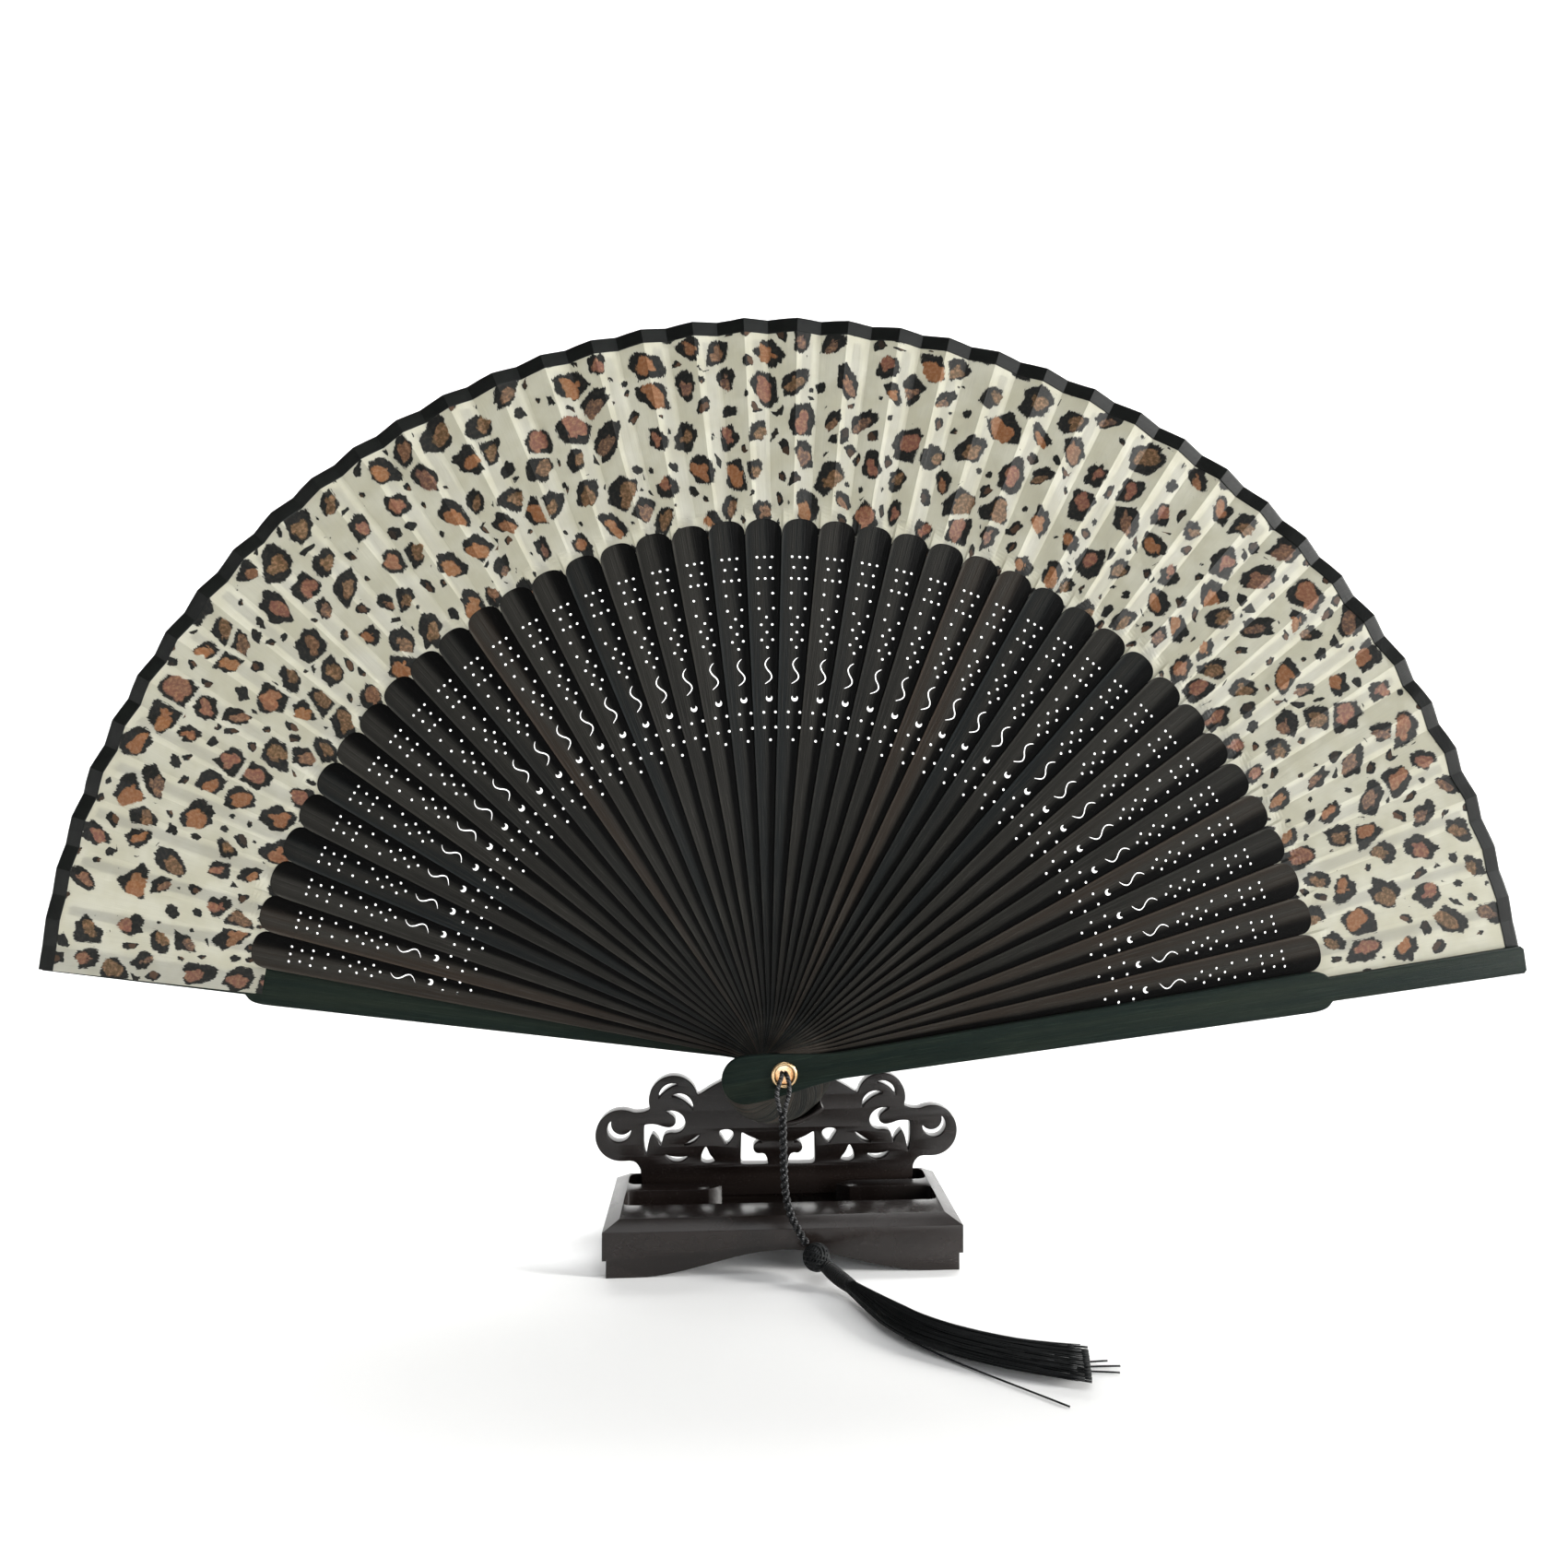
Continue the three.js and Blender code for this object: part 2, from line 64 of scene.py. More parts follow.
JOINT = next(j for j in frame["joints"] if j["name"] == "fan_close")
PIVOT_Z = JOINT["pos_m"][2] / MM
LAST = 41  # the back guard's number; the front guard is 0 and the ribs are 1 to 40
RIBS = range(1, LAST)
FIRST_DEGREES = 8.0  # the front guard's angle above the table, with the fan open
STEP_DEGREES = 4.0  # from one stick to the next
STEP_RADIANS = 0.0698  # the same step, rounded, for the shaders
FRONT_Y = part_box("front_guard")[0].y / MM
BACK_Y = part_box("back_guard")[0].y / MM
GUARD_T = 1.8
GUARD_GAP = 0.35  # between the front guard and the first rib
RIB_T = 0.5
RIB_STEP = 0.55  # from one rib's front to the next
TIP_X = 143.0  # the blades' tips, from the pivot
HEAD_REACH = 15.8  # the heads' lowest point, from the pivot
HEAD_R = 6.0
BORE_R = 2.55
NECK_X = 15.0  # where the head's curve meets the straight stick
NECK_HALF = 3.3
CLOTH_TILT = -0.26  # depth over width of the narrow facet that lies on each slat
CLOTH_T = 0.1
CLOTH_FROM, CLOTH_RIM = 138.5, 194.0
FOLD_HALF = 0.95  # half the narrow facet's width, in degrees


def stick_degrees(k):
    return FIRST_DEGREES + STEP_DEGREES * k


def rib_front(k):
    """Depth (Y) of a rib's front face."""
    return FRONT_Y + GUARD_T + GUARD_GAP + (k - 1) * RIB_STEP


def ease(k):
    """The pleats' share of full depth: it falls to nothing at the guards."""
    return min(1.0, k / 4, (LAST - k) / 4)


# ------------------------------------------------------------ mesh helpers

def link(obj):
    bpy.context.scene.collection.objects.link(obj)
    return obj


def mesh_object(name, points, faces, material, smooth=False):
    """An object from points in millimetres."""
    mesh = bpy.data.meshes.new(name)
    mesh.from_pydata([tuple(MM * c for c in p) for p in points], [], faces)
    mesh.update()
    obj = link(bpy.data.objects.new(name, mesh))
    finish_mesh(obj, material, smooth)
    return obj


def finish_mesh(obj, material, smooth=False):
    bm = bmesh.new()
    bm.from_mesh(obj.data)
    bmesh.ops.recalc_face_normals(bm, faces=bm.faces)
    bm.to_mesh(obj.data)
    bm.free()
    obj.data.materials.clear()
    obj.data.materials.append(material)
    for face in obj.data.polygons:
        face.use_smooth = smooth


def smooth_by_angle(obj, degrees):
    mod = obj.modifiers.new("edges", "EDGE_SPLIT")
    mod.split_angle = math.radians(degrees)
    for face in obj.data.polygons:
        face.use_smooth = True
    apply_modifiers(obj)


def evaluated_mesh(obj):
    bpy.context.view_layer.update()
    depsgraph = bpy.context.evaluated_depsgraph_get()
    return bpy.data.meshes.new_from_object(obj.evaluated_get(depsgraph))


def apply_modifiers(obj):
    made = evaluated_mesh(obj)
    made.name = obj.data.name
    obj.modifiers.clear()
    obj.data = made


def cut_plate(name, loops, thickness, bevel, rounds=1):
    """A flat plate's mesh from closed outlines, the first one outside and the others holes."""
    curve = bpy.data.curves.new(name, "CURVE")
    curve.dimensions = "2D"
    curve.fill_mode = "BOTH"
    curve.extrude = thickness / 2 - bevel
    curve.bevel_depth = bevel
    curve.bevel_resolution = rounds - 1
    curve.offset = -bevel
    for loop in loops:
        spline = curve.splines.new("POLY")
        spline.points.add(len(loop) - 1)
        for point, (x, y) in zip(spline.points, loop):
            point.co = (x, y, 0, 1)
        spline.use_cyclic_u = True
    obj = link(bpy.data.objects.new(name, curve))
    mesh = evaluated_mesh(obj)
    bpy.data.objects.remove(obj)
    bm = bmesh.new()
    bm.from_mesh(mesh)
    bmesh.ops.remove_doubles(bm, verts=bm.verts, dist=1e-4)
    bm.to_mesh(mesh)
    bm.free()
    return mesh


def tube(path, radius, sides, lobes=0, depth=0.0, turns=0.0):
    """Points and faces of a closed tube round a path; its section can be lobed and can twist."""
    path = [Vector(p) for p in path]
    points, faces = [], []
    side = None
    count = len(path)
    for i, centre in enumerate(path):
        ahead = (path[min(i + 1, count - 1)] - path[max(i - 1, 0)]).normalized()
        if side is None:
            side = ahead.orthogonal().normalized()
        side = (side - ahead * side.dot(ahead)).normalized()
        over = ahead.cross(side)
        t = i / (count - 1)
        for j in range(sides):
            a = 2 * math.pi * j / sides
            r = radius * (1 + depth * math.cos(lobes * (a + 2 * math.pi * turns * t)))
            points.append(centre + side * (r * math.cos(a)) + over * (r * math.sin(a)))
    for i in range(count - 1):
        for j in range(sides):
            a, b = i * sides + j, i * sides + (j + 1) % sides
            faces.append((a, b, b + sides, a + sides))
    faces.append(tuple(range(sides - 1, -1, -1)))
    faces.append(tuple((count - 1) * sides + j for j in range(sides)))
    return points, faces


def join_parts(parts):
    """Several (points, faces) pairs as one."""
    points, faces = [], []
    for p, f in parts:
        start = len(points)
        points.extend(p)
        faces.extend(tuple(start + i for i in face) for face in f)
    return points, faces


def catmull(points, per_span):
    """A smooth line through the points."""
    points = [Vector(p) for p in points]
    out = []
    for i in range(len(points) - 1):
        a = points[i - 1] if i else points[0] * 2 - points[1]
        b, c = points[i], points[i + 1]
        d = points[i + 2] if i + 2 < len(points) else c * 2 - b
        for s in range(per_span):
            t = s / per_span
            out.append(0.5 * (2 * b + (c - a) * t + (2 * a - 5 * b + 4 * c - d) * t * t
                              + (3 * b - 3 * c + d - a) * t ** 3))
    out.append(points[-1])
    return out


def even(points, count):
    """The same line as points spaced evenly along it."""
    points = [Vector(p) for p in points]
    runs = [0.0]
    for a, b in zip(points, points[1:]):
        runs.append(runs[-1] + (b - a).length)
    out, j = [], 0
    for i in range(count):
        at = runs[-1] * i / (count - 1)
        while j < len(runs) - 2 and runs[j + 1] < at:
            j += 1
        share = (at - runs[j]) / max(runs[j + 1] - runs[j], 1e-9)
        out.append(points[j].lerp(points[j + 1], min(1.0, share)))
    return out


# ------------------------------------------------------------ material helpers

class Tree:
    """A short way to write node trees; most calls add a node and return its output socket."""

    def __init__(self, name):
        self.material = bpy.data.materials.new(name)
        self.material.use_nodes = True
        self.nodes = self.material.node_tree.nodes
        self.links = self.material.node_tree.links
        self.nodes.clear()
        self.out = self.nodes.new("ShaderNodeOutputMaterial")
        self.shader = None

    def put(self, value, socket):
        """Links an output to the socket, or sets a number or colour on it."""
        if isinstance(value, bpy.types.NodeSocket):
            self.links.new(value, socket)
            return
        if hasattr(socket.default_value, "__len__"):
            size = len(socket.default_value)
            value = value if hasattr(value, "__len__") else [value] * size
            value = (*value, 1.0) if (len(value), size) == (3, 4) else value
        socket.default_value = value

    def node(self, kind, inputs=(), **settings):
        made = self.nodes.new("ShaderNode" + kind)
        for key, value in settings.items():
            setattr(made, key, value)
        items = inputs.items() if isinstance(inputs, dict) else enumerate(inputs)
        for key, value in items:
            self.put(value, made.inputs[key])
        return made

    def math(self, operation, *values):
        return self.node("Math", values, operation=operation).outputs[0]

    def vector(self, operation, *values):
        made = self.node("VectorMath", values, operation=operation)
        return made.outputs["Value" if operation == "LENGTH" else "Vector"]

    def mix(self, factor, a, b):
        made = self.nodes.new("ShaderNodeMix")
        made.data_type = "RGBA"
        self.put(factor, made.inputs["Factor"])
        self.put(a, made.inputs[6])
        self.put(b, made.inputs[7])
        return made.outputs[2]

    def step(self, value, low, high, out_low=0.0, out_high=1.0):
        inputs = {"Value": value, "From Min": low, "From Max": high, "To Min": out_low, "To Max": out_high}
        return self.node("MapRange", inputs, interpolation_type="SMOOTHSTEP").outputs["Result"]

    def noise(self, vector, scale, detail=3.0, rough=0.5):
        inputs = {"Vector": vector, "Scale": scale, "Detail": detail, "Roughness": rough}
        return self.node("TexNoise", inputs, noise_dimensions="3D").outputs["Fac"]

    def stretch(self, vector, scale):
        return self.node("Mapping", {"Vector": vector, "Scale": scale}).outputs[0]

    def coords(self, kind="Object"):
        return self.node("TexCoord").outputs[kind]

    def bump(self, height, strength, distance, normal=None):
        inputs = {"Height": height, "Strength": strength, "Distance": distance}
        if normal is not None:
            inputs["Normal"] = normal
        return self.node("Bump", inputs).outputs[0]

    def principled(self, **inputs):
        made = self.nodes.new("ShaderNodeBsdfPrincipled")
        for key, value in inputs.items():
            self.put(value, made.inputs[key.replace("_", " ")])
        self.shader = made.outputs[0]
        return made.outputs[0]

    def done(self, shader=None):
        self.links.new(shader or self.shader, self.out.inputs["Surface"])
        return self.material


def scaled(colour, factor):
    return tuple(factor * c for c in colour)


def bamboo_material(name, tint=(0.013, 0.0125, 0.011), paint_neighbour_shadow=True):
    """Black-dyed bamboo: fine fibres along the stick (local X), with light and shade painted on the ribs.

    A rib lies partly under its right neighbour. The neighbour's shadow on that side is painted as a dark
    band; the rest of the rib is painted lighter as if lit, with a painted highlight along its far edge.
    """
    t = Tree(name)
    p = t.coords()
    along = t.stretch(p, (60.0, 900.0, 2600.0))
    fibre = t.noise(along, 1.0, 4.0, 0.65)
    broad = t.noise(t.stretch(p, (14.0, 60.0, 260.0)), 1.0, 3.0, 0.6)
    pores = t.noise(t.stretch(p, (170.0, 1200.0, 3800.0)), 1.0, 2.0, 0.5)
    own = t.node("ObjectInfo").outputs["Random"]  # a number of each stick's own
    cool = tuple(c * k for c, k in zip(tint, (0.80, 1.0, 1.18)))
    warm = tuple(c * k for c, k in zip(tint, (1.38, 1.08, 0.95)))
    hue = t.mix(t.step(own, 0.15, 0.45), cool, tint)
    hue = t.mix(t.step(own, 0.60, 0.90), hue, warm)
    pale = t.mix(t.step(broad, 0.35, 0.75), hue, scaled(tint, 1.5))
    colour = t.mix(t.step(fibre, 0.50, 0.75, 0.0, 0.6), pale, scaled(tint, 2.8))
    if paint_neighbour_shadow:
        # Painted light and shade: a dark band for the right neighbour's cast shadow, a lighter lit side, and
        # a painted highlight at the far edge.
        # share is 0 at the neighbour's edge and 1 at the rib's own far edge.
        parts = t.node("SeparateXYZ", (p,)).outputs
        cover = t.math("ADD", t.math("MULTIPLY", parts[0], -0.0560), 0.0031)
        bare = t.math("MULTIPLY", parts[0], STEP_RADIANS)
        share = t.math("DIVIDE", t.math("SUBTRACT", parts[2], cover), bare)
        uneven = t.math("MULTIPLY", t.math("SUBTRACT", broad, 0.5), 0.45)
        painted_light_mask = t.step(t.math("ADD", share, uneven), 0.26, 0.58)
        # A painted highlight along the rib's far edge.
        rim = t.step(share, 0.90, 0.97, 1.0, 1.7)
        painted_light_gain = t.math("MULTIPLY", t.step(own, 0.0, 1.0, 0.76, 1.40), rim)
        painted_light_gains = t.node("CombineXYZ", (painted_light_gain, painted_light_gain, painted_light_gain)).outputs[0]
        # The shadow band is painted at about 8 % of the colour; the lit side is painted lighter by the gain.
        colour = t.mix(painted_light_mask, t.vector("MULTIPLY", colour, (0.08, 0.085, 0.09)),
                       t.vector("MULTIPLY", colour, painted_light_gains))
    colour = t.mix(t.step(pores, 0.66, 0.74, 0.0, 0.7), colour, (0.002, 0.002, 0.002))
    rough = t.step(fibre, 0.2, 0.8, 0.42, 0.60)
    height = t.math("ADD", fibre, t.math("MULTIPLY", pores, -0.6))
    normal = t.bump(height, 0.75, 0.00022)
    # Light spreads across the fibres, not along them.
    across = t.node("VectorTransform", ((0.0, 0.0, 1.0),), vector_type="VECTOR",
                    convert_from="OBJECT", convert_to="WORLD").outputs[0]
    t.principled(Base_Color=colour, Roughness=rough, Normal=normal, Specular_IOR_Level=0.07,
                 Anisotropic=0.85, Tangent=across)
    return t.done()


def lacquer_material(name):
    """Dark red-brown gloss lacquer over carved wood, with soft waves, fine dust and edges painted lighter: a
    painted highlight, with some wear.
    """
    t = Tree(name)
    p = t.coords()
    cloud = t.noise(p, 55.0, 4.0, 0.6)
    grain = t.noise(t.stretch(p, (35.0, 700.0, 700.0)), 1.0, 3.0, 0.6)
    dust = t.noise(p, 2600.0, 2.0, 0.6)
    base = t.mix(t.step(cloud, 0.3, 0.7), (0.0062, 0.0041, 0.0034), (0.0105, 0.0071, 0.0060))
    base = t.mix(t.step(grain, 0.5, 0.75, 0.0, 0.5), base, (0.0130, 0.0090, 0.0078))
    # Sharp edges are painted lighter: a painted highlight along the carving, with some wear in it.
    edge = t.node("NewGeometry").outputs["Pointiness"]
    base = t.mix(t.step(edge, 0.53, 0.62, 0.0, 0.45), base, (0.022, 0.016, 0.014))
    base = t.mix(t.step(dust, 0.62, 0.72, 0.0, 0.25), base, (0.045, 0.041, 0.038))
    rough = t.step(cloud, 0.25, 0.75, 0.20, 0.29)
    normal = t.bump(t.noise(p, 130.0, 2.0, 0.5), 0.10, 0.0004)
    normal = t.bump(dust, 0.05, 0.00005, normal)
    t.principled(Base_Color=base, Roughness=rough, Normal=normal, Specular_IOR_Level=0.38,
                 Coat_Weight=0.04, Coat_Roughness=0.12)
    return t.done()


def brass_material(name):
    """Bright brass, tarnished in patches and finely scratched."""
    t = Tree(name)
    p = t.coords()
    tarnish = t.noise(p, 420.0, 4.0, 0.6)
    scratch = t.noise(t.stretch(p, (900.0, 5200.0, 2500.0)), 1.0, 3.0, 0.6)
    colour = t.mix(t.step(tarnish, 0.4, 0.7), (0.83, 0.60, 0.34), (0.58, 0.38, 0.19))
    rough = t.step(scratch, 0.3, 0.7, 0.16, 0.34)
    normal = t.bump(scratch, 0.12, 0.00006)
    t.principled(Base_Color=colour, Metallic=1.0, Roughness=rough, Normal=normal)
    return t.done()


def yarn_material(name, tint, painted_glint, share):
    """Silky black thread with fine fibres; pale specks are painted glints, standing for fibres catching the
    light.
    """
    t = Tree(name)
    p = t.coords()
    fine = t.noise(p, 5200.0, 3.0, 0.7)
    clump = t.noise(p, 900.0, 3.0, 0.6)
    colour = t.mix(t.step(clump, 0.35, 0.7), tint, scaled(tint, 2.0))
    # Painted glints: pale specks from the fine noise.
    colour = t.mix(t.step(fine, 0.56, 0.70, 0.0, share), colour, painted_glint)
    normal = t.bump(fine, 0.5, 0.0001)
    rough = t.step(clump, 0.3, 0.7, 0.42, 0.6)
    t.principled(Base_Color=colour, Roughness=rough, Normal=normal, Specular_IOR_Level=0.22,
                 Sheen_Weight=0.03, Sheen_Roughness=0.35)
    return t.done()


def weave_height(t, uv, pitch):
    """Plain weave from the flat cloth's own coordinates, which are in millimetres."""
    parts = t.node("SeparateXYZ", (uv,)).outputs
    k = 2 * math.pi / pitch
    warp = t.math("SINE", t.math("MULTIPLY", parts[0], k))
    weft = t.math("SINE", t.math("MULTIPLY", parts[1], k))
    return t.math("MULTIPLY", warp, weft)


def ribbon_material(name):
    """Black woven ribbon with a little lint."""
    t = Tree(name)
    uv = t.coords("UV")
    weave = weave_height(t, uv, 0.42)
    clump = t.noise(uv, 0.35, 3.0, 0.6)
    lint = t.noise(uv, 5.0, 2.0, 0.6)
    colour = t.mix(t.step(clump, 0.3, 0.7), (0.0015, 0.0019, 0.0015), (0.0035, 0.0044, 0.0035))
    colour = t.mix(t.step(lint, 0.62, 0.74, 0.0, 0.35), colour, (0.010, 0.012, 0.010))
    colour = t.mix(t.step(weave, 0.2, 1.0, 0.0, 0.35), colour, (0.007, 0.0085, 0.007))
    normal = t.bump(weave, 0.4, 0.00003)
    t.principled(Base_Color=colour, Roughness=0.37, Normal=normal, Specular_IOR_Level=0.22)
    return t.done()


def spot_layer(t, uv, cell, seed, small, large, keep=None):
    """One layer of animal spots on the flat cloth, one to a cell.

    It returns the spots, their centre patches, each spot's own random numbers, and the distance
    outside the spots. Spots run from small to large, in cells, and keep thins them out.
    """
    at = t.vector("ADD", t.vector("MULTIPLY", uv, (1 / cell, 1 / cell, 0.0)), (seed, 2.3 * seed, 0.0))
    inputs = {"Vector": at, "Scale": 1.0, "Randomness": 0.72}
    cells = t.node("TexVoronoi", inputs, voronoi_dimensions="2D")
    walls = t.node("TexVoronoi", inputs, voronoi_dimensions="2D",
                   feature="DISTANCE_TO_EDGE").outputs["Distance"]
    own = t.node("SeparateColor", (cells.outputs["Color"],)).outputs
    delta = t.vector("SUBTRACT", at, cells.outputs["Position"])
    parts = t.node("SeparateXYZ", (delta,)).outputs
    turn = t.step(own[0], 0.0, 1.0, 0.7, 2.4)
    c, s = t.math("COSINE", turn), t.math("SINE", turn)
    a = t.math("ADD", t.math("MULTIPLY", parts[0], c), t.math("MULTIPLY", parts[1], s))
    b = t.math("SUBTRACT", t.math("MULTIPLY", parts[1], c), t.math("MULTIPLY", parts[0], s))
    long = t.math("MULTIPLY", a, 0.86)
    wide = t.math("MULTIPLY", b, t.step(own[1], 0.0, 1.0, 1.02, 1.42))
    flat = t.node("CombineXYZ", (long, wide, 0.0)).outputs[0]
    far = t.vector("LENGTH", flat)
    way = t.vector("NORMALIZE", flat)
    spin = t.node("CombineXYZ", [t.math("MULTIPLY", own[i], k) for i, k in enumerate((41.0, 57.0, 33.0))])

    def around(frequency, offset, low, high, detail=0.0):
        """A number that changes smoothly with the direction from the spot's middle."""
        turned = t.vector("MULTIPLY", spin.outputs[0], offset)
        place = t.vector("ADD", t.vector("MULTIPLY", way, (frequency,) * 3), turned)
        return t.step(t.noise(place, 1.0, detail, 0.6), 0.30, 0.70, low, high)

    hair = t.noise(t.vector("MULTIPLY", uv, (3.0, 0.62, 0.0)), 1.0, 3.0, 0.65)
    brush = t.math("MULTIPLY", t.math("SUBTRACT", hair, 0.5), 0.21)
    size = t.step(own[2], 0.0, 1.0, small, large)
    if keep is not None:
        size = t.math("MULTIPLY", size, keep)
    outer = t.math("MULTIPLY", size, around(1.15, (1.0, 1.0, 1.0), 0.80, 1.18, 1.0))
    room = t.math("ADD", t.math("SUBTRACT", walls, 0.060), t.math("MULTIPLY", brush, 1.1))
    inside = t.math("ADD", t.math("SUBTRACT", outer, far), brush)
    spot = t.step(t.math("MINIMUM", inside, room), -0.006, 0.016)
    shift_x, shift_y = t.step(own[1], 0.0, 1.0, -0.11, 0.11), t.step(own[0], 0.0, 1.0, 0.11, -0.11)
    shift = t.node("CombineXYZ", (shift_x, shift_y, 0.0)).outputs[0]
    near = t.vector("LENGTH", t.vector("ADD", flat, shift))
    inner = t.math("MULTIPLY", size, around(0.75, (1.7, 0.6, 1.3), 0.40, 0.76))
    central = t.math("ADD", t.math("SUBTRACT", inner, near), t.math("MULTIPLY", brush, 0.8))
    patch = t.step(central, -0.012, 0.035)
    return spot, patch, own, t.math("SUBTRACT", far, outer)


def leaf_material(name):
    """Thin cream cloth, printed with animal spots before it was pleated; the print shows through."""
    t = Tree(name)
    uv = t.coords("UV")
    weave = weave_height(t, uv, 0.36)
    # Large spots with a rust-coloured middle, then small ones in the room between them.
    spot_a, patch_a, own_a, gap_a = spot_layer(t, uv, 10.3, 3.1, 0.27, 0.45)
    room = t.step(gap_a, 0.10, 0.26)
    spot_b, patch_b, own_b, _ = spot_layer(t, uv, 6.3, 11.7, 0.12, 0.33, room)
    cloud = t.noise(uv, 0.09, 3.0, 0.6)
    cream = t.mix(t.step(cloud, 0.35, 0.68), (0.56, 0.545, 0.45), (0.62, 0.61, 0.53))
    slub = t.noise(t.stretch(uv, (3.4, 0.10, 1.0)), 1.0, 2.0, 0.6)
    cream = t.mix(t.step(slub, 0.42, 0.75, 0.0, 0.35), cream, (0.50, 0.495, 0.43))
    tone = t.noise(uv, 1.1, 3.0, 0.6)
    rust = t.mix(t.step(own_a[0], 0.25, 0.45), (0.300, 0.140, 0.058), (0.245, 0.110, 0.080))
    rust = t.mix(t.step(own_a[0], 0.60, 0.72), rust, (0.140, 0.088, 0.042))
    rust = t.mix(t.step(own_a[1], 0.70, 0.90, 0.0, 0.9), rust, (0.120, 0.080, 0.066))
    rust = t.mix(t.step(tone, 0.40, 0.68, 0.0, 0.75), rust, (0.42, 0.245, 0.135))
    dark = t.mix(t.step(tone, 0.40, 0.75), (0.012, 0.0135, 0.012), (0.032, 0.028, 0.023))
    brown = t.mix(own_b[0], (0.060, 0.034, 0.020), (0.150, 0.080, 0.045))
    small = t.mix(t.math("MULTIPLY", patch_b, t.step(own_b[1], 0.25, 0.45)), dark, brown)
    colour = t.mix(spot_b, cream, small)
    colour = t.mix(spot_a, colour, t.mix(patch_a, dark, rust))
    normal = t.bump(weave, 0.25, 0.00004)
    crease = t.noise(t.stretch(uv, (0.50, 0.035, 1.0)), 1.0, 3.0, 0.6)
    normal = t.bump(crease, 0.20, 0.0009, normal)
    rough = t.step(crease, 0.3, 0.7, 0.42, 0.58)
    front = t.principled(Base_Color=colour, Roughness=rough, Normal=normal, Sheen_Weight=0.12,
                         Sheen_Roughness=0.35, Specular_IOR_Level=0.50)
    through = t.node("BsdfTranslucent", {"Color": colour}).outputs[0]
    return t.done(t.node("MixShader", (0.50, front, through)).outputs[0])


def paper_material(name, colour):
    t = Tree(name)
    mottle = t.noise(t.coords(), 6.0, 3.0, 0.6)
    shade = t.mix(mottle, colour, scaled(colour, 1.02))
    t.principled(Base_Color=shade, Roughness=0.85, Specular_IOR_Level=0.2)
    return t.done()


# ------------------------------------------------------------ camera

PICTURE_PIXELS = 1701.0  # the photograph's width
FOCAL_PIXELS = 1150.0  # fitted to the photograph
SENSOR_WIDTH = 36.0

camera = link(bpy.data.objects.new("camera", bpy.data.cameras.new("camera")))
camera.data.sensor_width = SENSOR_WIDTH
camera.data.lens = SENSOR_WIDTH * FOCAL_PIXELS / PICTURE_PIXELS
camera.location = (-0.0160, -0.28355, 0.1184)
camera.rotation_euler = (math.radians(90.72), math.radians(-0.08), math.radians(-3.41))
camera.data.clip_start = 0.01
camera.data.clip_end = 20.0
bpy.context.scene.camera = camera

# ------------------------------------------------------------ cord and tassel

# Each yarn's second colour is a painted glint.
YARN = yarn_material("black_yarn", (0.0022, 0.0028, 0.0031), (0.024, 0.027, 0.028), 0.30)
YARN_CORD = yarn_material("black_cord", (0.0040, 0.0042, 0.0045), (0.10, 0.10, 0.10), 0.5)
# Pale yarn for the thin threads that are painted glints on the cord.
YARN_PAINTED_GLINT = yarn_material("cord_sheen_filament", (0.10, 0.10, 0.105), (0.45, 0.45, 0.44), 0.9)

CORD_ROUTE = [
    (0, -15, 48.7), (0, -18.6, 48.5), (-0.2, -20.3, 46.9), (-0.6, -20.7, 43),
    (-0.4, -20.8, 33), (0, -20.9, 22), (1.4, -21.2, 15.5), (3.6, -21.9, 11.2), (5.2, -22.7, 8.75),
]
KNOT = Vector((7.6, -23.8, 6.0))
STRAND_R = 0.52
GLINT_THREAD_TURNS = 0.75  # a millimetre
TWIST_FROM, TWIST_PITCH = 12.5, 3.6  # along the cord from the eyelet


def direction(line, i):
    return (line[min(i + 1, len(line) - 1)] - line[max(i - 1, 0)]).normalized()


def twisted_cord():
    """Two strands that leave the eyelet side by side and twist round each other below it."""
    line = even(catmull(CORD_ROUTE, 14), 300)
    run = sum((b - a).length for a, b in zip(line, line[1:]))
    strands, painted_glint_threads = [], []
    for strand in (0, 1):
        path, frames = [], []
        for i, p in enumerate(line):
            at = run * i / (len(line) - 1)
            ahead = direction(line, i)
            side = Vector((1, 0, 0))
            side = (side - ahead * side.dot(ahead)).normalized()
            over = ahead.cross(side)
            apart = 0.48 + 1.0 * math.exp(-((at - 7.6) / 3.6) ** 2)
            twist = math.pi * strand + 2 * math.pi * max(0.0, at - TWIST_FROM) / TWIST_PITCH
            path.append(p + side * (apart * math.cos(twist)) + over * (apart * math.sin(twist)))
            frames.append((side, over))
        strands.append(tube(path, STRAND_R, 12, lobes=3, depth=0.20, turns=20))
        # Two thin pale threads wound round each strand are painted glints: they stand for light caught by
        # the braid.
        for start in (0.0, 2.1):
            wound = []
            for i, (p, (side, over)) in enumerate(zip(path, frames)):
                a = start - 2 * math.pi * GLINT_THREAD_TURNS * run * i / (len(path) - 1)
                wound.append(p + side * (0.50 * math.cos(a)) + over * (0.50 * math.sin(a)))
            painted_glint_threads.append(tube(wound, 0.10, 4))
    dark = sum(len(faces) for _, faces in strands)
    points, faces = join_parts(strands + painted_glint_threads)
    obj = mesh_object("cord_twisted", points, faces, YARN_CORD, smooth=True)
    obj.data.materials.append(YARN_PAINTED_GLINT)
    for face in obj.data.polygons[dark:]:
        face.material_index = 1
    return obj, line, run


cord, cord_line, cord_run = twisted_cord()
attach(cord, "pivot")
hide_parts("cord")


KNOT_CORE_R = 2.75
KNOT_WINDINGS = [  # (axis, turns, radius)
    ((0.72, -0.55, -0.42), 9, 2.95), ((-0.35, -0.75, 0.56), 7, 3.08), ((0.3, 0.4, 0.87), 6, 3.0),
]


